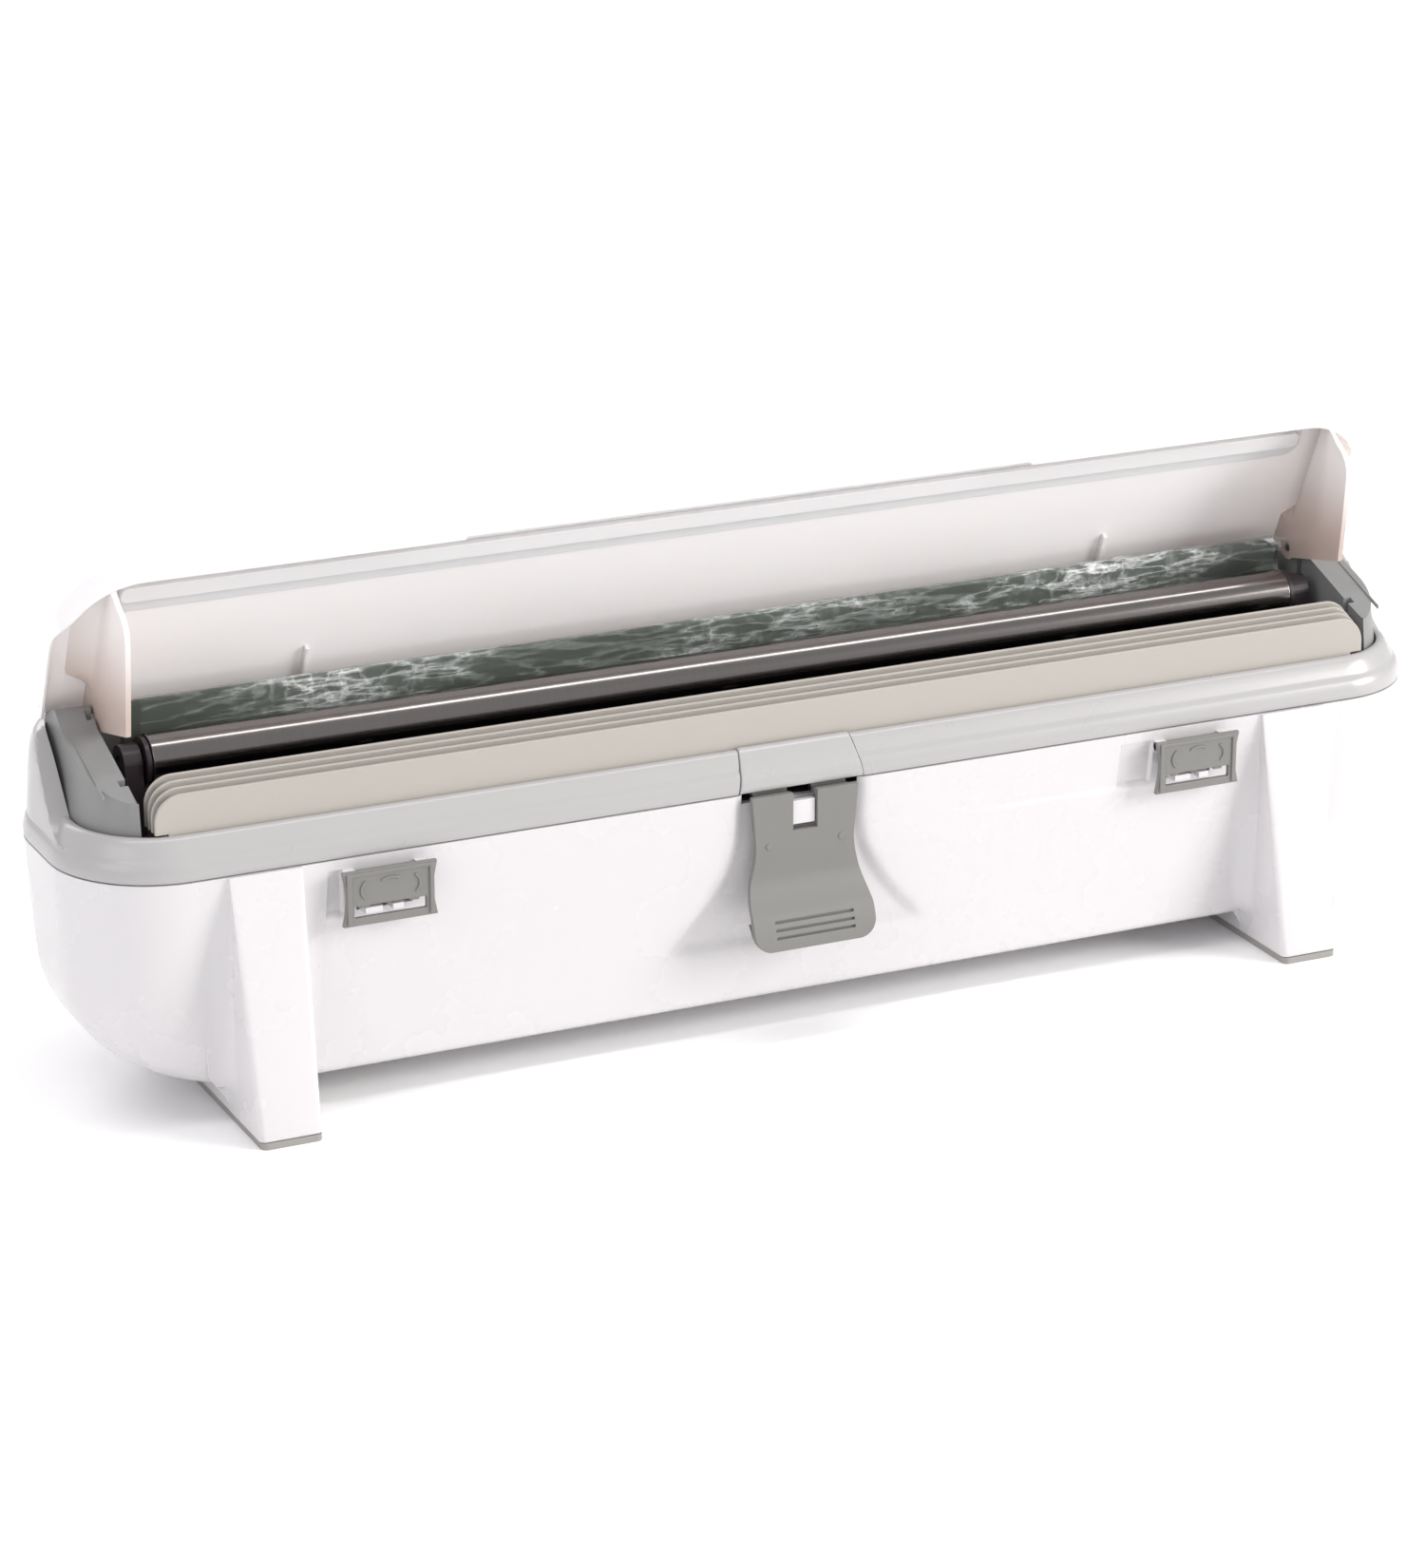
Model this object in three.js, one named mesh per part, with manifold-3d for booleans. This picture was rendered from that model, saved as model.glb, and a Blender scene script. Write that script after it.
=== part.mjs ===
// Counter-top cling film dispenser for 450 mm catering rolls.
// Millimetres, +X to the right, +Y to the rear, +Z up. The origin is on the table, midway between the feet.
// The lid is modelled open; every other moving piece is modelled at rest.
import * as THREE from "three";
import { mergeVertices } from "three/addons/utils/BufferGeometryUtils.js";
import Module from "manifold-3d";

const wasm = await Module();
wasm.setup();

// ---------------------------------------------------------------- driving dimensions
const GAP = 0.3; // clearance between neighbouring pieces
const WALL = 2.4; // moulded wall

const TUB = { halfX: 282.5, halfY: 52.8, corner: 40.6, bottomZ: 12, topZ: 98.7 };
const TUB_DRAFT = { x: 5, y: 8.5 };
const TUB_ROUND = { x: 44, y: 4 }; // bottom rounding, along and across
const LEG = { x: 214.8, halfTop: 14, halfBottom: 12, frontBottom: 74, frontTop: 54, fillet: 9 };
const PAD_HEIGHT = 2.5;

const ROLL = { y: 0, z: 52, radius: 35, halfLength: 225, coreOuter: 18, coreInner: 16 };
const STUB_RADIUS = 5;

const RIM = { bottomZ: 99.1, creaseZ: 106.6, topZ: 114.2 };
const BORE = { halfX: 272.6, halfY: 43.4, corner: 32 }; // opening in the rim
const DECK = { bottomZ: 100.4, topZ: 102.4 };
const FILM_SLOT = { halfX: 232, frontY: 5.4, rearY: 10.6 };

const FINS = { count: 4, frontY: -42.3, pitch: 3.6, thick: 1.4, halfX: 252.2, corner: 10.5 };
const FIN_TOP = { frontZ: 129.3, rise: 1.35 }; // the front fin's height, and the step up to each next one
const ROLLER = { y: 1.2, z: 128, radius: 9.8, wall: 1.3, halfX: 240 };
const BAR = { halfX: 245, frontY: 12.5, topZ: 147 };
const CAP = { innerX: 256, outerX: 269.5 };
const BLADE = { halfX: 230, pitch: 10, tipZ: 130.2, rootZ: 127.6, y: -28.8, thick: 0.8 };

const FRAME_PIVOT = { y: 57.2, z: 98.9 };
const LID_PIVOT = { y: 16, z: 141.5 };
const LATCH_PIVOT = { y: -49.2, z: 101.5 };
const CLIP_PIVOT = { y: -54.4, z: 92.5 };
const CLIP_X = 169;
const CLIP_BARREL = 2; // outer radius

// The lid's own frame: x along it, y up its inner skin from the rear edge, z out of the skin to the front.
const LID = { y: 27, z: 143, lean: 24.5, height: 69, halfX: 272, corner: 30 };
const LID_WALL = { skin: 2.2, lip: 1.4, depth: 12.4 };
const CHEEK_X = 254.8;

// ---------------------------------------------------------------- finishes
const finish = (color, roughness, metalness = 0) =>
  new THREE.MeshStandardMaterial({ color, roughness, metalness });
const white = finish(0xf4f4f6, 0.3);
const rimGrey = finish(0xc9c9ce, 0.4);
const beige = finish(0xc8c6b9, 0.5);
const midGrey = finish(0x7b7d7a, 0.5);
const capGrey = finish(0x6f7173, 0.5);
const nearBlack = finish(0x262426, 0.6);
const barGreen = finish(0x5c625a, 0.55);
const steel = finish(0xb9b7b4, 0.3, 1);
const filmClear = finish(0xe6ece8, 0.15);
const card = finish(0xb49a72, 0.9);
const padGrey = finish(0x9c9b95, 0.8);

// ---------------------------------------------------------------- solids
// A manifold-3d solid from a closed three.js geometry.
function solid(geometry) {
  const bare = geometry.index ? geometry.toNonIndexed() : geometry.clone();
  bare.deleteAttribute("normal");
  bare.deleteAttribute("uv");
  const merged = mergeVertices(bare, 1e-4);
  return new wasm.Manifold(
    new wasm.Mesh({
      numProp: 3,
      vertProperties: merged.attributes.position.array,
      triVerts: new Uint32Array(merged.index.array),
    }),
  );
}

const join = (first, ...rest) => rest.reduce((sum, next) => sum.add(next), first);
const cut = (first, ...rest) => rest.reduce((left, next) => left.subtract(next), first);

// A named mesh from a manifold-3d solid.
function piece(name, body, material) {
  const { vertProperties, triVerts } = body.getMesh();
  const geometry = new THREE.BufferGeometry();
  geometry.setAttribute("position", new THREE.BufferAttribute(new Float32Array(vertProperties), 3));
  geometry.setIndex(new THREE.BufferAttribute(new Uint32Array(triVerts), 1));
  geometry.computeVertexNormals();
  const mesh = new THREE.Mesh(geometry, material);
  mesh.name = name;
  return mesh;
}

const mirrorX = (body) => body.mirror([1, 0, 0]);

// A box between two corners.
function box(x0, x1, y0, y1, z0, z1) {
  const geometry = new THREE.BoxGeometry(x1 - x0, y1 - y0, z1 - z0);
  return solid(geometry.translate((x0 + x1) / 2, (y0 + y1) / 2, (z0 + z1) / 2));
}

// A round bar along X.
function barX(radius, x0, x1, y, z, sides = 20) {
  const geometry = new THREE.CylinderGeometry(radius, radius, x1 - x0, sides);
  return solid(geometry.rotateZ(Math.PI / 2).translate((x0 + x1) / 2, y, z));
}

// A round bar along Y.
function barY(radius, y0, y1, x, z, sides = 16) {
  const geometry = new THREE.CylinderGeometry(radius, radius, y1 - y0, sides);
  return solid(geometry.translate(x, (y0 + y1) / 2, z));
}

const polygon = (points) => new THREE.Shape(points.map(([u, v]) => new THREE.Vector2(u, v)));

// A side outline, drawn as (y, z), extruded along X.
function sidePrism(shape, x0, x1, curveSegments = 6) {
  const geometry = new THREE.ExtrudeGeometry(shape, { depth: x1 - x0, bevelEnabled: false, curveSegments });
  const place = new THREE.Matrix4().set(0, 0, 1, x0, 1, 0, 0, 0, 0, 1, 0, 0, 0, 0, 0, 1);
  return solid(geometry.applyMatrix4(place));
}

// A front outline, drawn as (x, z), extruded along Y from the front face to the rear face.
function frontPrism(shape, y0, y1, curveSegments = 6) {
  const geometry = new THREE.ExtrudeGeometry(shape, { depth: y1 - y0, bevelEnabled: false, curveSegments });
  return solid(geometry.rotateX(Math.PI / 2).translate(0, y1, 0));
}

// A plan outline, drawn as (x, y), extruded up from z0 to z1.
function plate(shape, z0, z1, curveSegments = 6) {
  const geometry = new THREE.ExtrudeGeometry(shape, { depth: z1 - z0, bevelEnabled: false, curveSegments });
  return solid(geometry.translate(0, 0, z0));
}

function roundedRect(halfX, halfY, corner) {
  const shape = new THREE.Shape();
  const [cx, cy] = [halfX - corner, halfY - corner];
  shape.moveTo(-cx, -halfY);
  shape.lineTo(cx, -halfY);
  shape.absarc(cx, -cy, corner, -Math.PI / 2, 0);
  shape.absarc(cx, cy, corner, 0, Math.PI / 2);
  shape.absarc(-cx, cy, corner, Math.PI / 2, Math.PI);
  shape.absarc(-cx, -cy, corner, Math.PI, Math.PI * 1.5);
  return shape;
}

// A rounded-rectangle column whose half sizes follow a list of levels [z, halfX, halfY], bottom first.
function stack(corner, levels, curveSegments = 4) {
  const [, halfX, halfY] = levels[levels.length - 1];
  const steps = levels.length - 1;
  const shape = roundedRect(halfX, halfY, corner);
  const options = { depth: steps, steps, bevelEnabled: false, curveSegments };
  const geometry = new THREE.ExtrudeGeometry(shape, options);
  const at = geometry.attributes.position;
  for (let i = 0; i < at.count; i += 1) {
    const [z, levelX, levelY] = levels[Math.round(at.getZ(i))];
    at.setXYZ(i, (at.getX(i) * levelX) / halfX, (at.getY(i) * levelY) / halfY, z);
  }
  return solid(geometry);
}

// ---------------------------------------------------------------- base
// Inset of a quarter ellipse that is `reach` wide and `height` tall, at a height above its foot.
function roundInset(reach, height, above) {
  if (above >= height) return 0;
  return reach * (1 - Math.sqrt(1 - (1 - above / height) ** 2));
}

// Half width and half depth of the tub's outside at height z.
function tubHalf(z) {
  const above = Math.max(z - TUB.bottomZ, 0);
  const draft = 1 - above / (TUB.topZ - TUB.bottomZ);
  return [
    TUB.halfX - TUB_DRAFT.x * draft - roundInset(TUB_ROUND.x, TUB_ROUND.x, above),
    TUB.halfY - TUB_DRAFT.y * draft - roundInset(TUB_ROUND.y, TUB_ROUND.y, above),
  ];
}

const TUB_LEVELS = [0, 1.2, 4, 9, 17, 29, 44];

function tubSolid(wall, topZ) {
  const levels = TUB_LEVELS.map((above) => {
    const [halfX, halfY] = tubHalf(TUB.bottomZ + above);
    return [TUB.bottomZ + above + wall, halfX - wall, halfY - wall];
  });
  levels.push([topZ, TUB.halfX - wall, TUB.halfY - wall]);
  return stack(TUB.corner - wall, levels);
}

// One transverse leg: a plate across the tub whose ends blend into the tub wall with a concave fillet.
function legSolid(inset, fillet, bottomZ) {
  const half = LEG.halfBottom - inset;
  const reach = LEG.frontBottom - inset;
  const root = 40;
  const corner = 2.5;
  const side = new THREE.Path();
  side.moveTo(half + fillet, root - 3);
  side.lineTo(half + fillet, root);
  if (fillet > 0) side.absarc(half + fillet, root + fillet, fillet, -Math.PI / 2, -Math.PI, true);
  side.absarc(half - corner, reach - corner, corner, 0, Math.PI / 2);
  const quarter = side.getPoints(2);
  const points = [
    ...quarter,
    ...quarter.map((p) => new THREE.Vector2(-p.x, p.y)).reverse(),
    ...quarter.map((p) => new THREE.Vector2(-p.x, -p.y)),
    ...quarter.map((p) => new THREE.Vector2(p.x, -p.y)).reverse(),
  ];
  const heights = [bottomZ, 12, 34, 66, TUB.topZ];
  const steps = heights.length - 1;
  const options = { depth: steps, steps, bevelEnabled: false };
  const geometry = new THREE.ExtrudeGeometry(new THREE.Shape(points), options);
  const at = geometry.attributes.position;
  for (let i = 0; i < at.count; i += 1) {
    const z = heights[Math.round(at.getZ(i))];
    const up = z / TUB.topZ;
    const wall = tubHalf(z)[1];
    const front = THREE.MathUtils.lerp(LEG.frontBottom, LEG.frontTop, up) - inset;
    const wide = THREE.MathUtils.lerp(LEG.halfBottom, LEG.halfTop, up) / LEG.halfBottom;
    const y = Math.abs(at.getY(i));
    const beyond = wall + ((y - root) * (front - wall)) / (reach - root);
    at.setXYZ(i, at.getX(i) * wide, Math.sign(at.getY(i)) * (y > root ? beyond : (y * wall) / root), z);
  }
  return solid(geometry);
}

const hingeLug = (x0, x1, webZ0, webZ1) =>
  join(
    barX(4.2, x0, x1, FRAME_PIVOT.y, FRAME_PIVOT.z),
    box(x0, x1, TUB.halfY - 2, FRAME_PIVOT.y, webZ0, webZ1),
  );

function baseTub() {
  const outside = tubSolid(0, TUB.topZ);
  const inside = tubSolid(WALL, TUB.topZ + 1);
  let tub = cut(outside, inside);
  const pads = [-1, 1].map((side) => side * LEG.x);
  for (const x of pads) {
    const leg = legSolid(0, LEG.fillet, PAD_HEIGHT + GAP).translate([x, 0, 0]);
    const core = legSolid(WALL, 0, -1).translate([x, 0, 0]);
    tub = join(tub, cut(leg, inside, cut(core, outside)));
  }
  const pinHole = barX(2.3, -200, 200, FRAME_PIVOT.y, FRAME_PIVOT.z, 16);
  for (const side of [-1, 1]) {
    const lug = hingeLug(156, 174, 88, TUB.topZ - GAP);
    tub = tub.add(side < 0 ? mirrorX(lug) : lug);
    for (const [from, to] of [[152.6, 157.2], [180.8, 185.4]]) {
      const ear = cut(
        join(
          barX(CLIP_BARREL, from, to, CLIP_PIVOT.y, CLIP_PIVOT.z, 12),
          box(from, to, CLIP_PIVOT.y, -51.5, 90.5, 94.5),
        ),
        barX(1.3, from - 1, to + 1, CLIP_PIVOT.y, CLIP_PIVOT.z, 12),
      );
      tub = tub.add(side < 0 ? mirrorX(ear) : ear);
    }
    const nib = box(CLIP_X - 10, CLIP_X + 6, -58.2, -50.5, 78.4, 80.8);
    tub = tub.add(side < 0 ? mirrorX(nib) : nib);
  }
  const latchGap = box(-24.2, 24.2, -60, -45, 94.6, TUB.topZ + 1);
  const catchNose = box(-4.5, 4.5, -53.2, -48.5, 85, 94.4);
  return piece("base_tub", join(cut(tub, pinHole, latchGap), catchNose), white);
}

function footPad(name, x) {
  const shape = roundedRect(LEG.halfBottom - 0.2, LEG.frontBottom, 2.5);
  return piece(name, plate(shape, 0, PAD_HEIGHT, 4).translate([x, 0, 0]), padGrey);
}

function sideClip(name, mirrored) {
  const [left, right, low, high] = [CLIP_X - 18.5, CLIP_X + 18.5, 74.5, 95.5];
  const shape = new THREE.Shape();
  shape.moveTo(left, low);
  shape.lineTo(right, low);
  shape.quadraticCurveTo(right - 2, (low + high) / 2, right, high);
  shape.lineTo(left, high);
  shape.quadraticCurveTo(left + 2, (low + high) / 2, left, low);
  const face = cut(frontPrism(shape, -59, -56.9, 5), box(left + 4.5, right - 4.5, -60, -50, 77.6, 82));
  const arm = box(158, 180, -57, CLIP_PIVOT.y, 90.6, 94.4);
  const barrel = join(barX(CLIP_BARREL, 158, 180, CLIP_PIVOT.y, CLIP_PIVOT.z, 12), arm);
  const body = cut(join(face, barrel), barX(1.3, 150, 190, CLIP_PIVOT.y, CLIP_PIVOT.z, 12));
  return piece(name, mirrored ? mirrorX(body) : body, midGrey);
}

const clipPin = (name, mirrored) => {
  const pin = barX(1, 152.8, 185.2, CLIP_PIVOT.y, CLIP_PIVOT.z, 10);
  return piece(name, mirrored ? mirrorX(pin) : pin, steel);
};

const framePin = (name, mirrored) => {
  const pin = barX(1.9, 156.4, 192.4, FRAME_PIVOT.y, FRAME_PIVOT.z, 14);
  return piece(name, mirrored ? mirrorX(pin) : pin, steel);
};

// ---------------------------------------------------------------- film roll
function ring(outer, inner, halfLength, sides) {
  const profile = [
    [inner, -halfLength],
    [outer, -halfLength],
    [outer, halfLength],
    [inner, halfLength],
    [inner, -halfLength],
  ].map(([r, h]) => new THREE.Vector2(r, h));
  return solid(new THREE.LatheGeometry(profile, sides).rotateZ(Math.PI / 2)).translate([0, ROLL.y, ROLL.z]);
}

const CORE_END = ROLL.halfLength + 3;

function filmRoll() {
  return piece("film_roll", ring(ROLL.radius, ROLL.coreOuter + GAP, ROLL.halfLength, 40), filmClear);
}

function filmCore() {
  return piece("film_core", ring(ROLL.coreOuter, ROLL.coreInner, CORE_END, 28), card);
}

function corePlug(name, mirrored) {
  const end = CORE_END + GAP;
  const body = join(
    barX(ROLL.coreInner - GAP - 0.2, end - 14, end + 1, ROLL.y, ROLL.z, 24),
    barX(20, end, end + 2, ROLL.y, ROLL.z, 28),
    barX(STUB_RADIUS, end + 1, end + 9.5, ROLL.y, ROLL.z, 18),
  );
  return piece(name, mirrored ? mirrorX(body) : body, nearBlack);
}

function rollCradle(name, mirrored) {
  const halfGap = STUB_RADIUS + 0.4;
  const shape = new THREE.Shape();
  shape.moveTo(-18, 15.4);
  shape.lineTo(18, 15.4);
  shape.lineTo(13, 57);
  shape.lineTo(halfGap, 57);
  shape.lineTo(halfGap, ROLL.z);
  shape.absarc(ROLL.y, ROLL.z, halfGap, 0, -Math.PI, true);
  shape.lineTo(-halfGap, 57);
  shape.lineTo(-13, 57);
  const body = sidePrism(shape, 232.2, 236.2, 8);
  return piece(name, mirrored ? mirrorX(body) : body, white);
}

// ---------------------------------------------------------------- middle frame
const RIM_LEVELS = [
  [RIM.bottomZ, 282.5, 52.8],
  [101.4, 282.5, 52.8],
  [RIM.creaseZ, 280.8, 51.2],
  [107.8, 279.8, 50.3],
  [113, 275.8, 46.6],
  [RIM.topZ, 274.6, 45.3],
];

const latchWindow = (grow) => {
  const [top, foot] = [22.9 + grow, 26.2 + grow];
  return polygon([[-foot, 98], [foot, 98], [top, 116], [-top, 116]]);
};

function rimFrame() {
  const hollow = RIM_LEVELS.slice(0, 5).map(([z, x, y], i) => [i ? z - 1.2 : z - 1, x - 2.2, y - 2.2]);
  const shell = cut(
    stack(TUB.corner, RIM_LEVELS),
    stack(TUB.corner - 2, hollow),
    plate(roundedRect(BORE.halfX, BORE.halfY, BORE.corner), 90, 120, 8),
    box(-300, 300, -4.3, 60, RIM.creaseZ + 0.2, 120),
    frontPrism(latchWindow(GAP), -60, -40),
  );
  const lug = cut(
    hingeLug(174.6, 192.6, RIM.bottomZ, 103.1),
    barX(2.3, 170, 200, FRAME_PIVOT.y, FRAME_PIVOT.z, 16),
    box(170, 200, 40, 50.4, 90, 120),
  );
  const tidyLug = cut(lug, box(170, 200, 40, 54, 90, RIM.bottomZ));
  return piece("rim_frame", join(shell, tidyLug, mirrorX(tidyLug)), rimGrey);
}

const COVER = { topZ: 139.6, frontY: -4, wall: 2.2, openY: 31 };

function rearCover() {
  const bottomZ = RIM.creaseZ + 0.5;
  const outer = stack(38, [
    [bottomZ, 280.5, 50.9],
    [126, 279, 50],
    [135, 278, 48.6],
    [COVER.topZ, 276.4, 46.6],
  ]);
  const inner = stack(36, [
    [bottomZ - 1, 280.5 - COVER.wall, 50.9 - COVER.wall],
    [126, 279 - COVER.wall, 50 - COVER.wall],
    [COVER.topZ - COVER.wall, 276.4 - COVER.wall, 46.4 - COVER.wall],
  ]);
  const ramp = polygon([[COVER.frontY, 100], [60, 100], [60, 150], [26, 150], [COVER.frontY, 113]]);
  const well = box(-274, 274, -60, COVER.openY, 100, 150);
  return piece("rear_cover", cut(outer.intersect(sidePrism(ramp, -290, 290)), inner, well), rimGrey);
}

function innerDeck() {
  const deck = plate(roundedRect(277.8, 48.2, 36.4), DECK.bottomZ, DECK.topZ, 8);
  const slot = box(-FILM_SLOT.halfX, FILM_SLOT.halfX, FILM_SLOT.frontY, FILM_SLOT.rearY, 90, 110);
  const latchRoom = box(-23.4, 23.4, -60, -44.6, 90, 110);
  return piece("inner_deck", cut(deck, slot, latchRoom), nearBlack);
}

function latchCover() {
  const outline = polygon([
    [-53.6, 99.6],
    [-53.6, 101.5],
    [-51.9, 106.9],
    [-47.2, 113.5],
    [-45.8, 114.9],
    [-43.7, 114.9],
    [-43.7, 112.7],
    [-45.5, 112.2],
    [-49.9, 106],
    [-51.4, 101.3],
    [-51.4, 99.6],
  ]);
  const skin = sidePrism(outline, -30, 30).intersect(frontPrism(latchWindow(0), -60, -40));
  const ear = join(
    barX(2.3, 19.9, 22.4, LATCH_PIVOT.y, LATCH_PIVOT.z, 12),
    box(19.9, 22.4, -51.6, LATCH_PIVOT.y, 100.2, 103),
  );
  const hole = barX(1.3, -30, 30, LATCH_PIVOT.y, LATCH_PIVOT.z, 12);
  return piece("latch_cover", cut(join(skin, ear, mirrorX(ear)), hole), rimGrey);
}

function frontLatch() {
  const section = new THREE.Shape();
  section.moveTo(-53.6, 97.6);
  section.lineTo(-56, 97.6);
  section.lineTo(-56.2, 66);
  section.quadraticCurveTo(-57.4, 58, -63, 53.5);
  section.quadraticCurveTo(-66, 50, -66.6, 40);
  section.lineTo(-64.2, 39.6);
  section.quadraticCurveTo(-63.4, 48, -61.4, 51.4);
  section.quadraticCurveTo(-55.4, 57, -53.8, 66);
  const front = new THREE.Shape();
  front.moveTo(-19, 39.4);
  front.lineTo(19, 39.4);
  front.quadraticCurveTo(25.4, 39.4, 25.4, 46);
  front.bezierCurveTo(25.4, 58, 20.2, 68, 20.6, 80);
  front.lineTo(22.2, 98);
  front.lineTo(-22.2, 98);
  front.lineTo(-20.6, 80);
  front.bezierCurveTo(-20.2, 68, -25.4, 58, -25.4, 46);
  front.quadraticCurveTo(-25.4, 39.4, -19, 39.4);
  const grooves = [44.5, 47.4, 50.3].map((z) => box(-16.5, 16.5, -70, -65.2, z - 0.6, z + 0.6));
  const plateBody = cut(
    sidePrism(section, -26, 26, 6).intersect(frontPrism(front, -70, -50, 6)),
    box(-5.1, 5.1, -60, -52, 83, 99),
    ...grooves,
  );
  const reach = 19.5;
  const arm = cut(
    box(-reach, reach, -54, -48.2, 95.4, 97.6).add(box(-reach, reach, -50.4, -48, 95.4, LATCH_PIVOT.z)),
    box(-5.1, 5.1, -60, -52, 83, 99),
  );
  const barrel = barX(1.9, -reach, reach, LATCH_PIVOT.y, LATCH_PIVOT.z, 14);
  const bore = barX(1.3, -30, 30, LATCH_PIVOT.y, LATCH_PIVOT.z, 12);
  return piece("front_latch", cut(join(plateBody, arm, barrel), bore), midGrey);
}

function finBar() {
  const rearY = FINS.frontY + FINS.pitch * (FINS.count - 1);
  let body = box(-FINS.halfX, FINS.halfX, FINS.frontY - FINS.thick / 2, rearY + FINS.thick / 2, 102.8, 106);
  for (let i = 0; i < FINS.count; i += 1) {
    const y = FINS.frontY + FINS.pitch * i;
    const top = FIN_TOP.frontZ + FIN_TOP.rise * i;
    const fin = new THREE.Shape();
    fin.moveTo(-FINS.halfX, 104);
    fin.lineTo(FINS.halfX, 104);
    fin.lineTo(FINS.halfX, top - FINS.corner);
    fin.absarc(FINS.halfX - FINS.corner, top - FINS.corner, FINS.corner, 0, Math.PI / 2);
    fin.absarc(-FINS.halfX + FINS.corner, top - FINS.corner, FINS.corner, Math.PI / 2, Math.PI);
    body = body.add(frontPrism(fin, y - FINS.thick / 2, y + FINS.thick / 2, 6));
  }
  const clear = plate(roundedRect(BORE.halfX - GAP, BORE.halfY - GAP, BORE.corner - GAP), 90, 120, 8);
  const shoulder = cut(box(-290, 290, -60, 60, 100, RIM.topZ + GAP), clear);
  return piece("fin_bar", cut(body, shoulder), beige);
}

const SCREW_X = [-150, 0, 150];

function cutterBlade() {
  const teeth = (2 * BLADE.halfX) / BLADE.pitch;
  const edge = [[-BLADE.halfX, 104], [BLADE.halfX, 104], [BLADE.halfX, BLADE.rootZ]];
  for (let i = Math.floor(teeth) - 1; i >= 0; i -= 1) {
    const x = -BLADE.halfX + i * BLADE.pitch;
    edge.push([x + BLADE.pitch / 2, BLADE.tipZ], [x, BLADE.rootZ]);
  }
  const strip = frontPrism(polygon(edge), BLADE.y - BLADE.thick / 2, BLADE.y + BLADE.thick / 2);
  const holes = SCREW_X.map((x) => barY(1.9, -35, -20, x, 112, 12));
  return piece("cutter_blade", cut(strip, ...holes), steel);
}

function bladeCarrier() {
  const strip = box(-236, 236, -28, -25.6, DECK.topZ + GAP, 122);
  const holes = SCREW_X.map((x) => barY(1.9, -35, -20, x, 112, 12));
  return piece("blade_carrier", cut(strip, ...holes), nearBlack);
}

const bladeScrew = (name, x) =>
  piece(name, join(barY(1.5, -30, -24.5, x, 112, 10), barY(3, -25.2, -23.4, x, 112, 14)), steel);

function feedRoller() {
  const inner = ROLLER.radius - ROLLER.wall;
  const tube = cut(
    barX(ROLLER.radius, -ROLLER.halfX, ROLLER.halfX, ROLLER.y, ROLLER.z, 32),
    barX(inner, -ROLLER.halfX - 1, ROLLER.halfX + 1, ROLLER.y, ROLLER.z, 24),
  );
  return piece("feed_roller", tube, steel);
}

const ROLLER_STUB = 3;

function rollerPlug(name, mirrored) {
  const end = ROLLER.halfX + GAP;
  const body = join(
    barX(ROLLER.radius - ROLLER.wall - 0.4, end - 9, end + 0.5, ROLLER.y, ROLLER.z, 20),
    barX(ROLLER.radius - 0.6, end, end + 2, ROLLER.y, ROLLER.z, 28),
    barX(ROLLER_STUB, end + 1, end + 9.6, ROLLER.y, ROLLER.z, 20),
  );
  return piece(name, mirrored ? mirrorX(body) : body, nearBlack);
}

function rollerBracket(name, mirrored) {
  const shape = new THREE.Shape();
  shape.moveTo(-8, DECK.topZ + GAP);
  shape.lineTo(11.4, DECK.topZ + GAP);
  shape.lineTo(ROLLER.y + 7, ROLLER.z);
  shape.absarc(ROLLER.y, ROLLER.z, 7, 0, Math.PI);
  const bore = barX(ROLLER_STUB + 0.12, 240, 255, ROLLER.y, ROLLER.z, 28);
  const body = cut(sidePrism(shape, 243.4, 250.4, 10), bore);
  return piece(name, mirrored ? mirrorX(body) : body, nearBlack);
}

function rearGuideBar() {
  const front = BAR.frontY;
  const shape = new THREE.Shape();
  shape.moveTo(front, DECK.topZ + GAP);
  shape.lineTo(front + 12, DECK.topZ + GAP);
  shape.lineTo(front + 12, DECK.topZ + 2.6);
  shape.lineTo(front + 3.2, DECK.topZ + 2.6);
  shape.lineTo(front + 3.2, BAR.topZ - 1.6);
  shape.absarc(front + 1.6, BAR.topZ - 1.6, 1.6, 0, Math.PI);
  return piece("rear_guide_bar", sidePrism(shape, -BAR.halfX, BAR.halfX, 4), barGreen);
}

// The film's free end: up through the slot, up the bar's front face and over its top.
function filmWeb() {
  const front = BAR.frontY;
  const skin = 0.5;
  const near = front - GAP;
  const over = BAR.topZ + GAP;
  const back = front + 3.2 + GAP;
  const band = polygon([
    [FILM_SLOT.frontY + 1.5, 96],
    [FILM_SLOT.frontY + 1.5, 104],
    [near - skin, 112],
    [near - skin, over + skin],
    [back + skin, over + skin],
    [back + skin, 136],
    [back, 136],
    [back, over],
    [near, over],
    [near, 111.8],
    [FILM_SLOT.frontY + 2, 103.8],
    [FILM_SLOT.frontY + 2, 96],
  ]);
  return piece("film_web", sidePrism(band, -222, 222), filmClear);
}

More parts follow.
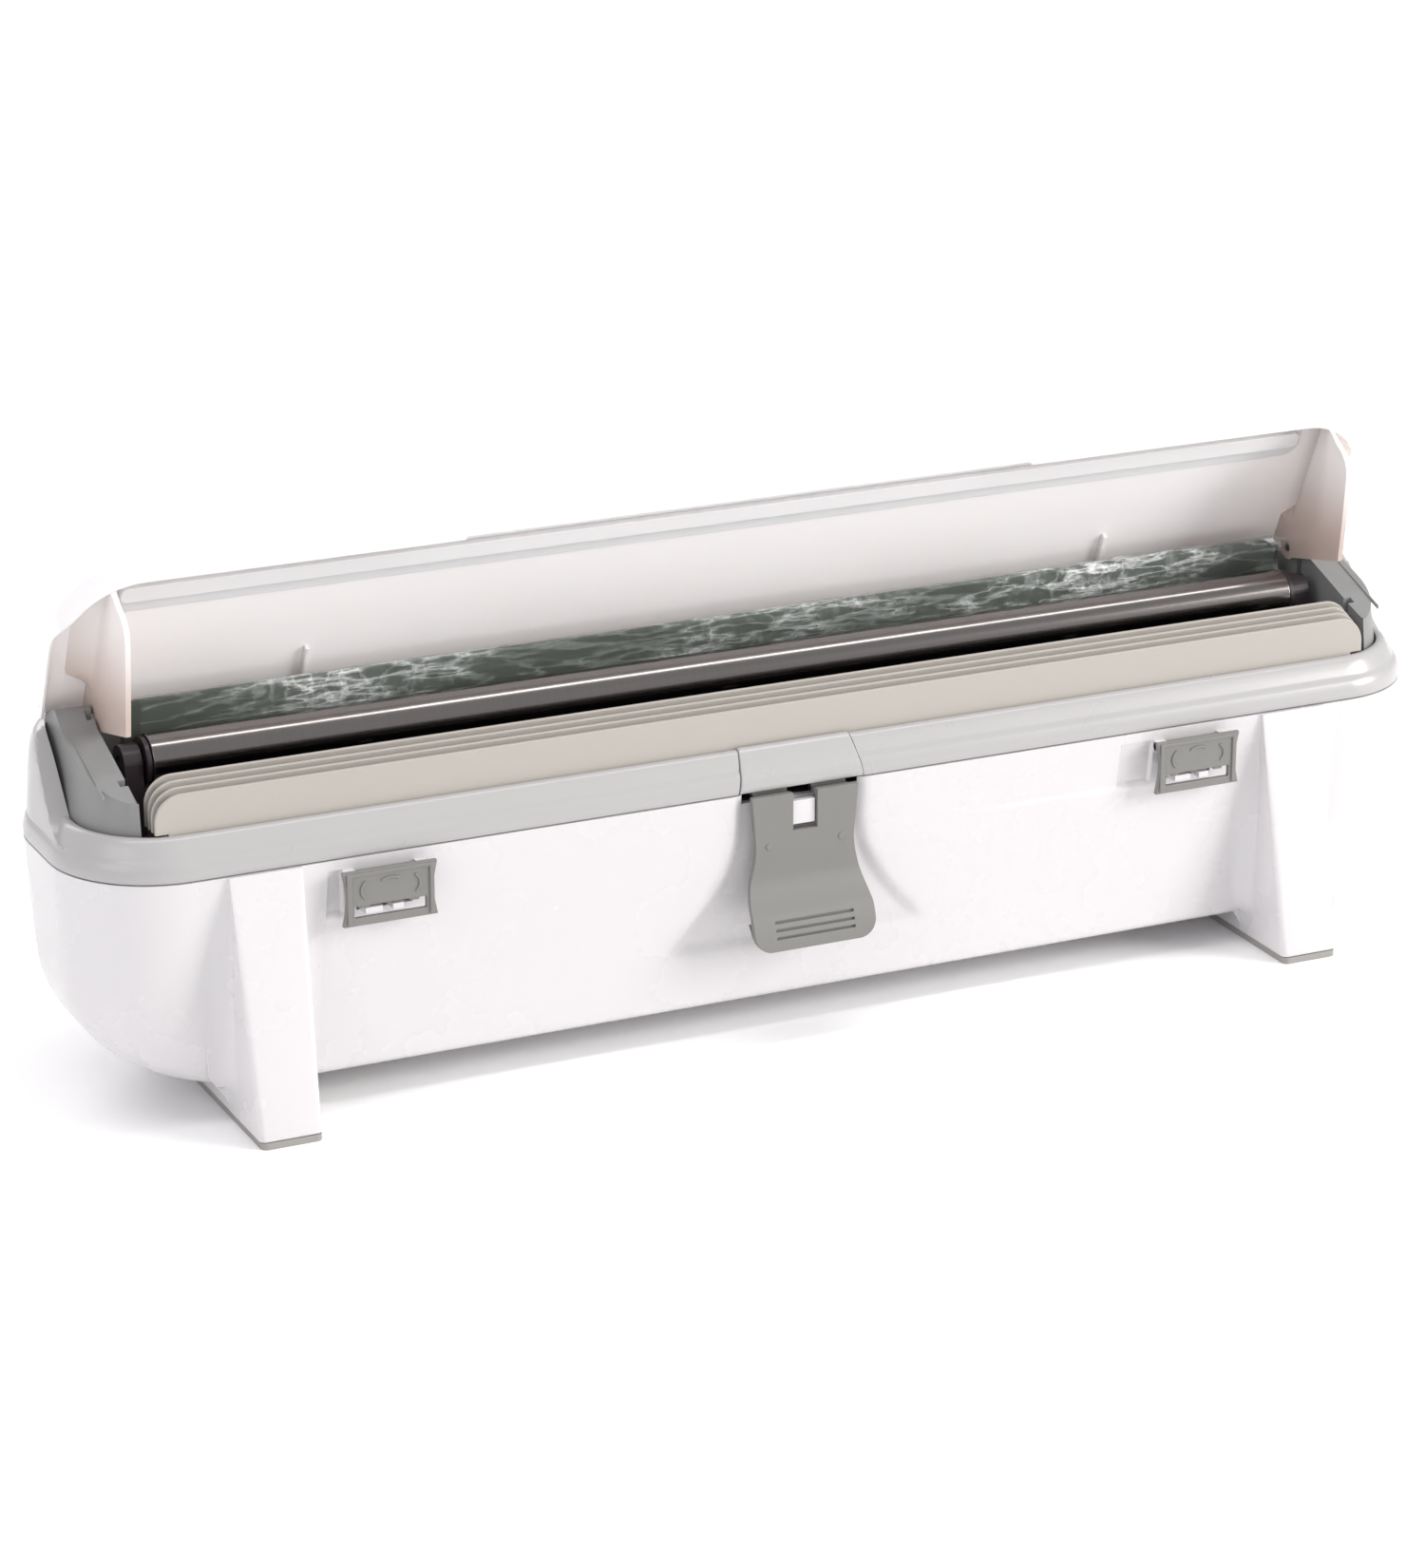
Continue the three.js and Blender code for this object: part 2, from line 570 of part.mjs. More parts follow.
// ---------------------------------------------------------------- end caps
function endCap(name, mirrored) {
  const side = new THREE.Shape();
  side.moveTo(-43, DECK.topZ + GAP);
  side.lineTo(28.5, DECK.topZ + GAP);
  side.lineTo(28.5, 135);
  side.quadraticCurveTo(27.5, 141.5, 21, 144.6);
  side.absarc(LID_PIVOT.y, LID_PIVOT.z, 5.2, Math.PI * 0.35, Math.PI * 0.62);
  side.lineTo(6, 140.4);
  side.lineTo(-37.5, 125.6);
  side.quadraticCurveTo(-42.6, 123.6, -43, 117);
  const footprint = stack(31.6, [
    [100, 272.3, 43.1],
    [RIM.topZ, 272.3, 43.1],
    [126, 270.6, 42],
    [150, CAP.outerX, 41],
  ]);
  const block = sidePrism(side, CAP.innerX, 273, 5).intersect(footprint);
  const notches = [[-27, 127], [10, 140]].map(([y, z]) =>
    box(CAP.innerX - 1, CAP.innerX + 3.4, y, y + 3.6, z, z + 8),
  );
  const groove = box(CAP.outerX - 3.4, CAP.outerX - 2.6, -30, 8, 126, 160).intersect(
    sidePrism(polygon([[-30, 126.6], [8, 139.6], [8, 160], [-30, 160]]), 260, 273),
  );
  const socket = barX(2.3, CAP.innerX - 1, CAP.innerX + 7, LID_PIVOT.y, LID_PIVOT.z, 16);
  const hollow = box(CAP.innerX + 2.4, CAP.outerX - 2.6, -36, 25, 100, 118);
  const body = cut(block, ...notches, groove, socket, hollow);
  return piece(name, mirrored ? mirrorX(body) : body, capGrey);
}

// ---------------------------------------------------------------- lid, in its own frame
function lidPanel(grow, z0, z1) {
  const shape = new THREE.Shape();
  const [halfX, corner] = [LID.halfX - grow, LID.corner - grow];
  shape.moveTo(-halfX, -1);
  shape.lineTo(halfX, -1);
  shape.absarc(halfX - corner, LID.height - grow - corner, corner, 0, Math.PI / 2);
  shape.absarc(-halfX + corner, LID.height - grow - corner, corner, Math.PI / 2, Math.PI);
  return plate(shape, z0, z1, 8);
}

const PIVOT_IN_LID = (() => {
  const v = new THREE.Vector3(0, LID_PIVOT.y - LID.y, LID_PIVOT.z - LID.z);
  v.applyAxisAngle(new THREE.Vector3(1, 0, 0), -THREE.MathUtils.degToRad(90 + LID.lean));
  return v;
})();

// The cheek's outline as (up the skin, away from the skin).
function cheekOutline() {
  const { y, z } = PIVOT_IN_LID;
  const shape = new THREE.Shape();
  shape.moveTo(-1, -0.5);
  shape.absarc(y, z, 5, Math.PI, Math.PI * 0.62, true);
  shape.lineTo(23, 43.3);
  shape.lineTo(59, 31);
  shape.quadraticCurveTo(63.6, 28, 63.8, 20);
  shape.lineTo(66.5, LID_WALL.depth);
  shape.lineTo(LID.height - 0.8, LID_WALL.depth - 2);
  shape.lineTo(LID.height - 0.8, -0.5);
  return shape;
}

function lidShell() {
  const skin = lidPanel(0, -LID_WALL.skin, 0);
  const tallRim = cut(lidPanel(0, -0.5, LID_WALL.depth), lidPanel(LID_WALL.lip, -2, LID_WALL.depth + 1));
  const rising = sidePrism(polygon([[34, -1], [72, -1], [72, 16], [54, 16]]), -300, 300);
  const frontWall = cut(tallRim.intersect(rising), box(-117, 117, 50, 90, LID_WALL.depth - 1.6, 40));
  const beadRing = cut(lidPanel(0, -0.5, 3.2), lidPanel(2, -2, 5));
  const sideBead = beadRing.intersect(box(-300, 300, -0.8, 60, -3, 40));
  let body = join(skin, frontWall, sideBead);
  const cheek = sidePrism(cheekOutline(), CHEEK_X - 2, CHEEK_X, 6);
  const flare = frontPrism(
    polygon([[CHEEK_X - 2, 9.5], [CHEEK_X, 9.5], [264.6, -0.4], [262, -0.4]]), 14, LID.height - 6,
  );
  const bore = barX(2.3, CHEEK_X - 5, CHEEK_X + 3, PIVOT_IN_LID.y, PIVOT_IN_LID.z, 16);
  const rib = box(168.6, 170.4, 1, 15, -0.4, 2.6);
  const lugs = cut(join(cheek, flare, rib), bore);
  body = join(body, lugs, mirrorX(lugs));
  return piece("lid_shell", body, white);
}

function lidPressStrip() {
  const strip = box(-248, 248, 50.5, 57.5, GAP, 3.6);
  return piece("lid_press_strip", strip, white);
}

const lidPin = (name, mirrored) => {
  const pin = barX(1.9, CHEEK_X - 2, CAP.innerX + 6.4, LID_PIVOT.y, LID_PIVOT.z, 14);
  return piece(name, mirrored ? mirrorX(pin) : pin, steel);
};

// ---------------------------------------------------------------- assembly
const base = new THREE.Group();
base.add(
  baseTub(),
  footPad("foot_pad_left", -LEG.x),
  footPad("foot_pad_right", LEG.x),
  rollCradle("roll_cradle_left", true),
  rollCradle("roll_cradle_right", false),
  framePin("frame_hinge_pin_left", true),
  framePin("frame_hinge_pin_right", false),
  clipPin("clip_pin_left", true),
  clipPin("clip_pin_right", false),
  sideClip("side_clip_left", true),
  sideClip("side_clip_right", false),
);

const roll = new THREE.Group();
roll.add(filmRoll(), filmCore(), corePlug("core_plug_left", true), corePlug("core_plug_right", false));

const frame = new THREE.Group();
frame.add(
  rimFrame(),
  rearCover(),
  innerDeck(),
  latchCover(),
  frontLatch(),
  piece("latch_pin", barX(1, -22.2, 22.2, LATCH_PIVOT.y, LATCH_PIVOT.z, 10), steel),
  finBar(),
  cutterBlade(),
  bladeCarrier(),
  bladeScrew("blade_screw_left", SCREW_X[0]),
  bladeScrew("blade_screw_centre", SCREW_X[1]),
  bladeScrew("blade_screw_right", SCREW_X[2]),
  feedRoller(),
  rollerPlug("roller_plug_left", true),
  rollerPlug("roller_plug_right", false),
  rollerBracket("roller_bracket_left", true),
  rollerBracket("roller_bracket_right", false),
  rearGuideBar(),
  filmWeb(),
  endCap("end_cap_left", true),
  endCap("end_cap_right", false),
  lidPin("lid_pivot_pin_left", true),
  lidPin("lid_pivot_pin_right", false),
);

const lid = new THREE.Group();
lid.add(lidShell(), lidPressStrip());
lid.rotation.x = THREE.MathUtils.degToRad(90 + LID.lean);
lid.position.set(0, LID.y, LID.z);

const dispenser = new THREE.Group();
dispenser.add(base, roll, frame, lid);

export default dispenser;
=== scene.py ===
"""Looks of a counter-top cling film dispenser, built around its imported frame.

Shapes are modelled in millimetres in the frame's own axes and turned into metres when a piece is finished.
"""

import logging
import math
from collections.abc import Callable, Iterator, Sequence
from dataclasses import dataclass, field
from enum import Enum

import bmesh
import bpy
from bmesh.types import BMesh, BMEdge, BMFace, BMVert
from mathutils import Matrix, Vector, noise


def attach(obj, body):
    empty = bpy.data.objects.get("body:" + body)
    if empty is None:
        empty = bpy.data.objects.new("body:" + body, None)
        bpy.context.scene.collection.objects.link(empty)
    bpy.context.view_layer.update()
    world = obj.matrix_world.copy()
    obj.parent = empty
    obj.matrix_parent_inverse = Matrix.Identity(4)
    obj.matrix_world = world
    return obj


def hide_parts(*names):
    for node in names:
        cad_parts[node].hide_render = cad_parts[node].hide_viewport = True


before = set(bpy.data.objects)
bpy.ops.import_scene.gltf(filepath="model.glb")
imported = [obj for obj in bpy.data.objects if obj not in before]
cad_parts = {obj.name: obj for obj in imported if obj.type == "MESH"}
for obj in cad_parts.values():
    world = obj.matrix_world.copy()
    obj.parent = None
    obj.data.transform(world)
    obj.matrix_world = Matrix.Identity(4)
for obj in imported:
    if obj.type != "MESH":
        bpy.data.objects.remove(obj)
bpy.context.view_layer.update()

MM = 0.001
LOG = logging.getLogger("dispenser")
SIDES = ((-1, "left"), (1, "right"))  # each end of the dispenser: its sign along X and its name

Point2 = tuple[float, float]
Colour = tuple[float, float, float]


class Body(Enum):
    """The moving bodies of the frame."""

    BASE = "base"
    ROLL = "roll"
    CLIP_LEFT = "clip_left"
    CLIP_RIGHT = "clip_right"
    FRAME = "mid_frame"
    LATCH = "latch"
    ROLLER = "roller"
    LID = "lid"


class Along(Enum):
    """The direction in which an outline is extruded, and the axes that the outline is drawn on."""

    X = "YZ"
    Y = "XZ"
    Z = "XY"


def smoothstep(low: float, high: float, value: float) -> float:
    """Rises smoothly from 0 at low to 1 at high."""
    t = min(max((value - low) / (high - low), 0.0), 1.0)
    return t * t * (3 - 2 * t)


def steps(low: float, high: float, pitch: float) -> list[float]:
    """Lists evenly spaced values.

    Args:
        low: The first value.
        high: The last value.
        pitch: The largest spacing allowed.

    Returns:
        The values, both ends included.
    """
    count = max(1, math.ceil((high - low) / pitch))
    return [low + (high - low) * i / count for i in range(count + 1)]


def arc(centre: Point2, radius: float, start: float, end: float, count: int = 8) -> list[Point2]:
    """Gives points on an arc.

    Args:
        centre: The arc's centre.
        radius: Its radius.
        start: Its first angle, in degrees.
        end: Its last angle, in degrees.
        count: How many segments it has.

    Returns:
        The points, both ends included.
    """
    angles = [math.radians(start + (end - start) * i / count) for i in range(count + 1)]
    return [(centre[0] + radius * math.cos(a), centre[1] + radius * math.sin(a)) for a in angles]


def both_sides(right: Sequence[Point2]) -> list[Point2]:
    """Closes an outline with the mirror image of its right half."""
    return [*right, *((-a, b) for a, b in reversed(right))]


def span(side: int, near: float, far: float) -> Point2:
    """Gives the low and the high end of a stretch on one side of the dispenser's middle."""
    return min(side * near, side * far), max(side * near, side * far)


def verts_of(made: Sequence[object]) -> list[BMVert]:
    """Picks the vertices out of what an operator made."""
    return [item for item in made if isinstance(item, BMVert)]


def shown(name: str, data: bpy.types.ID) -> bpy.types.Object:
    """Puts an object that holds some data in the scene."""
    made = bpy.data.objects.new(name, data)
    bpy.context.scene.collection.objects.link(made)
    return made


def soften(thing: bpy.types.Object, width: float, segments: int, angle: float) -> bpy.types.Modifier:
    """Rounds an object's edges.

    Args:
        thing: The object.
        width: How far the edges are rounded, in millimetres.
        segments: How many segments a rounded edge has.
        angle: The sharpest angle between faces that stays unrounded, in degrees.

    Returns:
        The modifier that rounds them.
    """
    rounding = thing.modifiers.new("edges", "BEVEL")
    rounding.width = width * MM
    rounding.segments = segments
    rounding.limit_method = "ANGLE"
    rounding.angle_limit = math.radians(angle)
    return rounding


# ------------------------------------------------------------------ node groups


class Nodes:
    """Adds and joins nodes in a material's tree or in a node group's tree."""

    def __init__(self, tree: bpy.types.NodeTree) -> None:
        """Keeps the tree that the nodes go in."""
        self.tree = tree

    def add(self, kind: str, **settings: object) -> bpy.types.Node:
        """Adds a node.

        Args:
            kind: The node's Blender type, without its ShaderNode prefix.
            **settings: Properties to set on it.

        Returns:
            The new node.
        """
        node = self.tree.nodes.new("ShaderNode" + kind)
        for name, value in settings.items():
            setattr(node, name, value)
        return node

    def feed(self, socket: bpy.types.NodeSocket, value: object) -> None:
        """Joins a socket to another, or sets its own value.

        Args:
            socket: The input socket.
            value: An output socket, or a plain value.
        """
        if isinstance(value, bpy.types.NodeSocket):
            self.tree.links.new(value, socket)
        else:
            socket.default_value = value

    def noise(self, vector: object, scale: object, detail: float = 3.0) -> bpy.types.NodeSocket:
        """Adds a noise texture and gives its factor."""
        node = self.add("TexNoise")
        self.feed(node.inputs["Vector"], vector)
        self.feed(node.inputs["Scale"], scale)
        node.inputs["Detail"].default_value = detail
        return node.outputs["Fac"]

    def math(self, operation: str, a: object, b: object = 0.0, c: object = 0.0) -> bpy.types.NodeSocket:
        """Adds a math node and gives its value."""
        node = self.add("Math", operation=operation)
        for socket, value in zip(node.inputs, (a, b, c)):
            self.feed(socket, value)
        return node.outputs["Value"]

    def spread(self, value: object, low: object, high: object) -> bpy.types.NodeSocket:
        """Maps a 0 to 1 value onto another range."""
        node = self.add("MapRange")
        self.feed(node.inputs["Value"], value)
        self.feed(node.inputs["To Min"], low)
        self.feed(node.inputs["To Max"], high)
        return node.outputs["Result"]

    def mix(self, factor: object, a: object, b: object) -> bpy.types.NodeSocket:
        """Mixes two colours."""
        node = self.add("Mix", data_type="RGBA")
        self.feed(node.inputs[0], factor)
        self.feed(node.inputs[6], a)
        self.feed(node.inputs[7], b)
        return node.outputs[2]

    def stretched(self, vector: object, scale: tuple[float, float, float]) -> bpy.types.NodeSocket:
        """Scales a coordinate by a different amount along each axis."""
        node = self.add("Mapping")
        self.feed(node.inputs["Vector"], vector)
        node.inputs["Scale"].default_value = scale
        return node.outputs["Vector"]


@dataclass(frozen=True)
class Group:
    """A shader node group that several materials place, each with its own values."""

    name: str
    inputs: dict[str, str]
    outputs: dict[str, str]
    wire: Callable[[Nodes, dict], dict]

    def tree(self) -> bpy.types.NodeTree:
        """Builds the group the first time that it is asked for.

        Returns:
            The group's node tree.
        """
        found = bpy.data.node_groups.get(self.name)
        if found is not None:
            return found
        tree = bpy.data.node_groups.new(self.name, "ShaderNodeTree")
        for name, kind in self.inputs.items():
            tree.interface.new_socket(name, in_out="INPUT", socket_type="NodeSocket" + kind)
        for name, kind in self.outputs.items():
            tree.interface.new_socket(name, in_out="OUTPUT", socket_type="NodeSocket" + kind)
        nodes = Nodes(tree)
        entry = tree.nodes.new("NodeGroupInput")
        leave = tree.nodes.new("NodeGroupOutput")
        results = self.wire(nodes, {name: entry.outputs[name] for name in self.inputs})
        for name, socket in results.items():
            nodes.feed(leave.inputs[name], socket)
        return tree

    def place(self, nodes: Nodes, **values: object) -> dict[str, bpy.types.NodeSocket]:
        """Places the group in a material.

        Args:
            nodes: The material's nodes.
            **values: A value or a socket for each input.

        Returns:
            The group's output sockets by name.
        """
        node = nodes.tree.nodes.new("ShaderNodeGroup")
        node.node_tree = self.tree()
        for name, value in values.items():
            nodes.feed(node.inputs[name], value)
        return {name: node.outputs[name] for name in self.outputs}


def _wire_moulding(nodes: Nodes, given: dict) -> dict:
    """Wires the look of moulded plastic: flow shade, smudges and fine grain."""
    cloud = nodes.noise(given["Vector"], 9.0, 4.0)
    flow = nodes.noise(nodes.stretched(given["Vector"], (3.0, 14.0, 14.0)), 1.6, 2.0)
    shade = nodes.math("MULTIPLY_ADD", cloud, 0.6, nodes.math("MULTIPLY", flow, 0.4))
    colour = nodes.mix(nodes.spread(shade, 0.0, given["Variation"]), given["Colour"], given["Tint"])
    smudge = nodes.noise(given["Vector"], 34.0, 5.0)
    rough = nodes.math("ADD", given["Roughness"], nodes.spread(smudge, -0.05, 0.07))
    grain = nodes.noise(given["Vector"], given["Grain Scale"], 2.0)
    sink = nodes.noise(given["Vector"], 22.0, 1.0)
    fine = nodes.math("MULTIPLY", grain, given["Grain"])
    height = nodes.math("MULTIPLY_ADD", sink, given["Waviness"], fine)
    return {"Colour": colour, "Roughness": rough, "Height": height}


def _wire_scratches(nodes: Nodes, given: dict) -> dict:
    """Wires fine marks that run round or along a metal part."""
    fine = nodes.noise(nodes.stretched(given["Vector"], (900.0, 25.0, 25.0)), 1.0, 3.0)
    wide = nodes.noise(nodes.stretched(given["Vector"], (60.0, 8.0, 8.0)), 1.0, 2.0)
    both = nodes.math("MULTIPLY_ADD", fine, 0.7, nodes.math("MULTIPLY", wide, 0.3))
    return {
        "Colour": nodes.mix(both, given["Colour"], given["Tint"]),
        "Roughness": nodes.math("MULTIPLY_ADD", both, given["Spread"], given["Roughness"]),
        "Height": fine,
    }


def _wire_crinkles(nodes: Nodes, given: dict) -> dict:
    """Wires the creases of thin stretched film: a mask of painted highlight along the folds, and a height."""
    lines = []
    for stretch, sharp in (((34.0, 190.0, 230.0), 11.0), ((120.0, 70.0, 105.0), 13.0)):
        wave = nodes.noise(nodes.stretched(given["Vector"], stretch), 1.0, 4.0)
        away = nodes.math("ABSOLUTE", nodes.math("SUBTRACT", wave, 0.5))
        line = nodes.math("MAXIMUM", nodes.math("SUBTRACT", 1.0, nodes.math("MULTIPLY", away, sharp)), 0.0)
        lines.append(nodes.math("POWER", line, 1.6))
    patches = nodes.noise(nodes.stretched(given["Vector"], (16.0, 50.0, 60.0)), given["Scale"], 3.0)
    haze = nodes.math("MAXIMUM", nodes.math("MULTIPLY_ADD", patches, 3.0, -1.35), 0.0)
    long_folds = nodes.math("MULTIPLY", lines[0], nodes.math("MULTIPLY_ADD", haze, 0.6, 0.2))
    cross_folds = nodes.math("MULTIPLY", lines[1], nodes.math("MULTIPLY", haze, 0.4))
    # mask of the painted highlight: bright along the folds and faint over the hazy patches
    folds = nodes.math("MULTIPLY_ADD", haze, 0.12, nodes.math("ADD", long_folds, cross_folds))
    mask = nodes.math("MINIMUM", folds, 1.0)
    return {"Folds": mask, "Height": nodes.math("MULTIPLY_ADD", lines[0], 0.5, patches)}


MOULDING = Group(
    "moulded_surface",
    {
        "Vector": "Vector",
        "Colour": "Color",
        "Tint": "Color",
        "Variation": "Float",
        "Roughness": "Float",
        "Grain": "Float",
        "Grain Scale": "Float",
        "Waviness": "Float",
    },
    {"Colour": "Color", "Roughness": "Float", "Height": "Float"},
    _wire_moulding,
)
SCRATCHES = Group(
    "turned_metal",
    {"Vector": "Vector", "Colour": "Color", "Tint": "Color", "Spread": "Float", "Roughness": "Float"},
    {"Colour": "Color", "Roughness": "Float", "Height": "Float"},
    _wire_scratches,
)
CRINKLES = Group(
    "film_crinkles_highlight",
    {"Vector": "Vector", "Scale": "Float"},
    {"Folds": "Float", "Height": "Float"},
    _wire_crinkles,
)


# ------------------------------------------------------------------ finishes


def opaque(colour: Colour) -> tuple[float, float, float, float]:
    """Gives a colour with its alpha."""
    return (*colour, 1.0)


@dataclass(frozen=True)
class Finish:
    """What every finish has: the name of its slot and its shader's starting point."""

    slot: str

    def title(self) -> str:
        """Names the material. The bare slot's name is taken: the frame's own materials have it."""
        return f"{self.slot}_surface"

    def start(self) -> tuple[Nodes, bpy.types.Node, bpy.types.NodeSocket, bpy.types.Material]:
        """Makes an empty material with a Principled shader.

        Returns:
            The nodes, the shader, the object coordinates and the material.
        """
        material = bpy.data.materials.new(self.title())
        material.use_nodes = True
        nodes = Nodes(material.node_tree)
        shader = material.node_tree.nodes["Principled BSDF"]
        place = nodes.add("TexCoord").outputs["Object"]
        return nodes, shader, place, material

    def bump(
        self, nodes: Nodes, shader: bpy.types.Node, height: object, strength: float, depth: float
    ) -> None:
        """Feeds a height into the shader's normal.

        Args:
            nodes: The material's nodes.
            shader: The Principled shader.
            height: The height socket.
            strength: The bump's strength.
            depth: The bump's distance, in metres.
        """
        node = nodes.add("Bump")
        node.inputs["Strength"].default_value = strength
        node.inputs["Distance"].default_value = depth
        nodes.feed(node.inputs["Height"], height)
        nodes.feed(shader.inputs["Normal"], node.outputs["Normal"])

    def build(self) -> bpy.types.Material:
        """Builds the material."""
        raise NotImplementedError

    def material(self) -> bpy.types.Material:
        """Gives the material, built the first time that it is asked for."""
        return bpy.data.materials.get(self.title()) or self.build()


@dataclass(frozen=True)
class Plastic(Finish):
    """A moulded plastic with a flow shade, smudges and a fine grain."""

    colour: Colour
    tint: Colour
    roughness: float
    variation: float = 0.15
    grain: float = 0.5
    grain_scale: float = 1400.0
    waviness: float = 0.2
    bump_strength: float = 0.35
    bump_depth: float = 0.00012
    coat: float = 0.0
    coat_roughness: float = 0.12
    scatter: float = 0.0
    scatter_radius: Colour = (0.006, 0.0045, 0.004)
    refraction: float = 1.49

    def build(self) -> bpy.types.Material:
        """Builds the material from the shared moulded surface group."""
        nodes, shader, place, material = self.start()
        surface = MOULDING.place(
            nodes,
            Vector=place,
            Colour=opaque(self.colour),
            Tint=opaque(self.tint),
            Variation=self.variation,
            Roughness=self.roughness,
            Grain=self.grain,
            Waviness=self.waviness,
            **{"Grain Scale": self.grain_scale},
        )
        nodes.feed(shader.inputs["Base Color"], surface["Colour"])
        nodes.feed(shader.inputs["Roughness"], surface["Roughness"])
        self.bump(nodes, shader, surface["Height"], self.bump_strength, self.bump_depth)
        settings = {
            "IOR": self.refraction,
            "Coat Weight": self.coat,
            "Coat Roughness": self.coat_roughness,
            "Subsurface Weight": self.scatter,
            "Subsurface Radius": self.scatter_radius,
            "Subsurface Scale": 1.0,
        }
        for name, value in settings.items():
            shader.inputs[name].default_value = value
        return material


@dataclass(frozen=True)
class Metal(Finish):
    """A turned or ground metal with fine marks."""

    colour: Colour
    tint: Colour
    roughness: float
    spread: float = 0.12
    bump_strength: float = 0.3
    bump_depth: float = 0.00003

    def build(self) -> bpy.types.Material:
        """Builds the material from the shared scratches group."""
        nodes, shader, place, material = self.start()
        marks = SCRATCHES.place(
            nodes,
            Vector=place,
            Colour=opaque(self.colour),
            Tint=opaque(self.tint),
            Roughness=self.roughness,
            Spread=self.spread,
        )
        nodes.feed(shader.inputs["Base Color"], marks["Colour"])
        nodes.feed(shader.inputs["Roughness"], marks["Roughness"])
        self.bump(nodes, shader, marks["Height"], self.bump_strength, self.bump_depth)
        shader.inputs["Metallic"].default_value = 1.0
        return material


@dataclass(frozen=True)
class Film(Finish):
    """Thin clear film: nearly invisible where it lies flat, with a painted white highlight where it folds."""

    colour: Colour
    clear_alpha: float
    fold_highlight_alpha: float
    crease_scale: float = 1.0
    shine: Point2 = (0.08, 0.22)
    bump_strength: float = 0.9
    bump_depth: float = 0.0006

    def build(self) -> bpy.types.Material:
        """Builds the material from the shared crinkles group."""
        nodes, shader, place, material = self.start()
        folds = CRINKLES.place(nodes, Vector=place, Scale=self.crease_scale)
        white = opaque((1.0, 1.0, 1.0))
        # painted highlight: the folds are made white and more opaque; their bump is the film's own crease
        nodes.feed(shader.inputs["Base Color"], nodes.mix(folds["Folds"], opaque(self.colour), white))
        nodes.feed(shader.inputs["Alpha"], nodes.spread(folds["Folds"], self.clear_alpha, self.fold_highlight_alpha))
        nodes.feed(shader.inputs["Roughness"], nodes.spread(folds["Height"], *self.shine))
        self.bump(nodes, shader, folds["Height"], self.bump_strength, self.bump_depth)
        return material


@dataclass(frozen=True)
class ShadedMilky(Plastic):
    """A thin milky plastic with a painted shade that makes it warmer and darker towards its foot, where the
    cheeks get less light.
    """

    # painted shade: its colour, the heights in metres over which it fades out, and its share at the bottom
    painted_shade_colour: Colour = (0.55, 0.42, 0.36)
    foot: Point2 = (0.150, 0.190)
    painted_shade_share: float = 0.85
    cover: float = 0.9

    def title(self) -> str:
        """Names the material."""
        return "milky_painted_shade"

    def build(self) -> bpy.types.Material:
        """Builds the plastic and mixes the painted shade colour in over the foot's heights."""
        material = super().build()
        nodes = Nodes(material.node_tree)
        shader = material.node_tree.nodes["Principled BSDF"]
        plain = shader.inputs["Base Color"].links[0].from_socket
        split = nodes.add("SeparateXYZ")
        nodes.feed(split.inputs[0], nodes.add("TexCoord").outputs["Object"])
        # mask of the painted shade: full share below the foot's lower height, none above its upper height
        fade = nodes.add("MapRange", interpolation_type="SMOOTHSTEP")
        nodes.feed(fade.inputs["Value"], split.outputs["Z"])
        low, high = self.foot
        limits = {"From Min": low, "From Max": high, "To Min": self.painted_shade_share, "To Max": 0.0}
        for name, value in limits.items():
            fade.inputs[name].default_value = value
        colour = nodes.mix(fade.outputs["Result"], plain, opaque(self.painted_shade_colour))
        nodes.feed(shader.inputs["Base Color"], colour)
        shader.inputs["Alpha"].default_value = self.cover
        return material


@dataclass(frozen=True)
class Wound(Plastic):
    """Many turns of clear film, which look like a pale glossy solid."""

    def title(self) -> str:
        """Names the material."""
        return "wound_film"


class Finishes:
    """The dispenser's finishes, by the part that they are moulded, turned or cut for."""

    TUB = Plastic("white_shell", (0.69, 0.67, 0.68), (0.66, 0.64, 0.655), 0.26, coat=0.25, scatter=0.08)
    LID = Plastic("lid_white", (0.94, 0.91, 0.905), (0.91, 0.87, 0.87), 0.14, coat=0.4, scatter=0.35)
    RIM = Plastic("rim_grey", (0.43, 0.42, 0.42), (0.39, 0.38, 0.385), 0.28, coat=0.3)
    FINS = Plastic("beige", (0.44, 0.41, 0.375), (0.41, 0.38, 0.345), 0.4)
    CLIP = Plastic("mid_grey", (0.21, 0.206, 0.195), (0.185, 0.181, 0.171), 0.5, grain=1.0, grain_scale=900.0)
    CAP = Plastic("cap_grey", (0.26, 0.262, 0.26), (0.13, 0.135, 0.14), 0.48, grain=1.0, grain_scale=900.0)
    BLACK = Plastic("near_black", (0.022, 0.015, 0.019), (0.035, 0.026, 0.032), 0.38)
    BAR = Plastic("bar_green", (0.065, 0.075, 0.062), (0.04, 0.048, 0.04), 0.3)
    PAD = Plastic("pad_rubber", (0.33, 0.32, 0.30), (0.26, 0.25, 0.24), 0.8, grain=1.0, grain_scale=600.0)
    CARD = Plastic("card", (0.42, 0.29, 0.16), (0.33, 0.22, 0.12), 0.9, grain=1.0, grain_scale=300.0)
    STEEL = Metal("steel", (0.60, 0.59, 0.58), (0.45, 0.44, 0.43), 0.28)
    ROLLER = Metal(
        "roller_steel", (0.25, 0.232, 0.226), (0.20, 0.185, 0.18), 0.15, spread=0.04, bump_depth=1e-6
    )
    FILM = Film("film", (0.70, 0.78, 0.73), 0.03, 0.9)
    WOUND = Wound("film", (0.74, 0.78, 0.76), (0.66, 0.71, 0.69), 0.14, coat=0.5, scatter=0.3)
    # the lid's white plastic with a painted shade towards the cheeks' foot
    CHEEK = ShadedMilky("lid_white", (0.92, 0.88, 0.865), (0.88, 0.83, 0.81), 0.2, scatter=0.05)


# ------------------------------------------------------------------ modelling


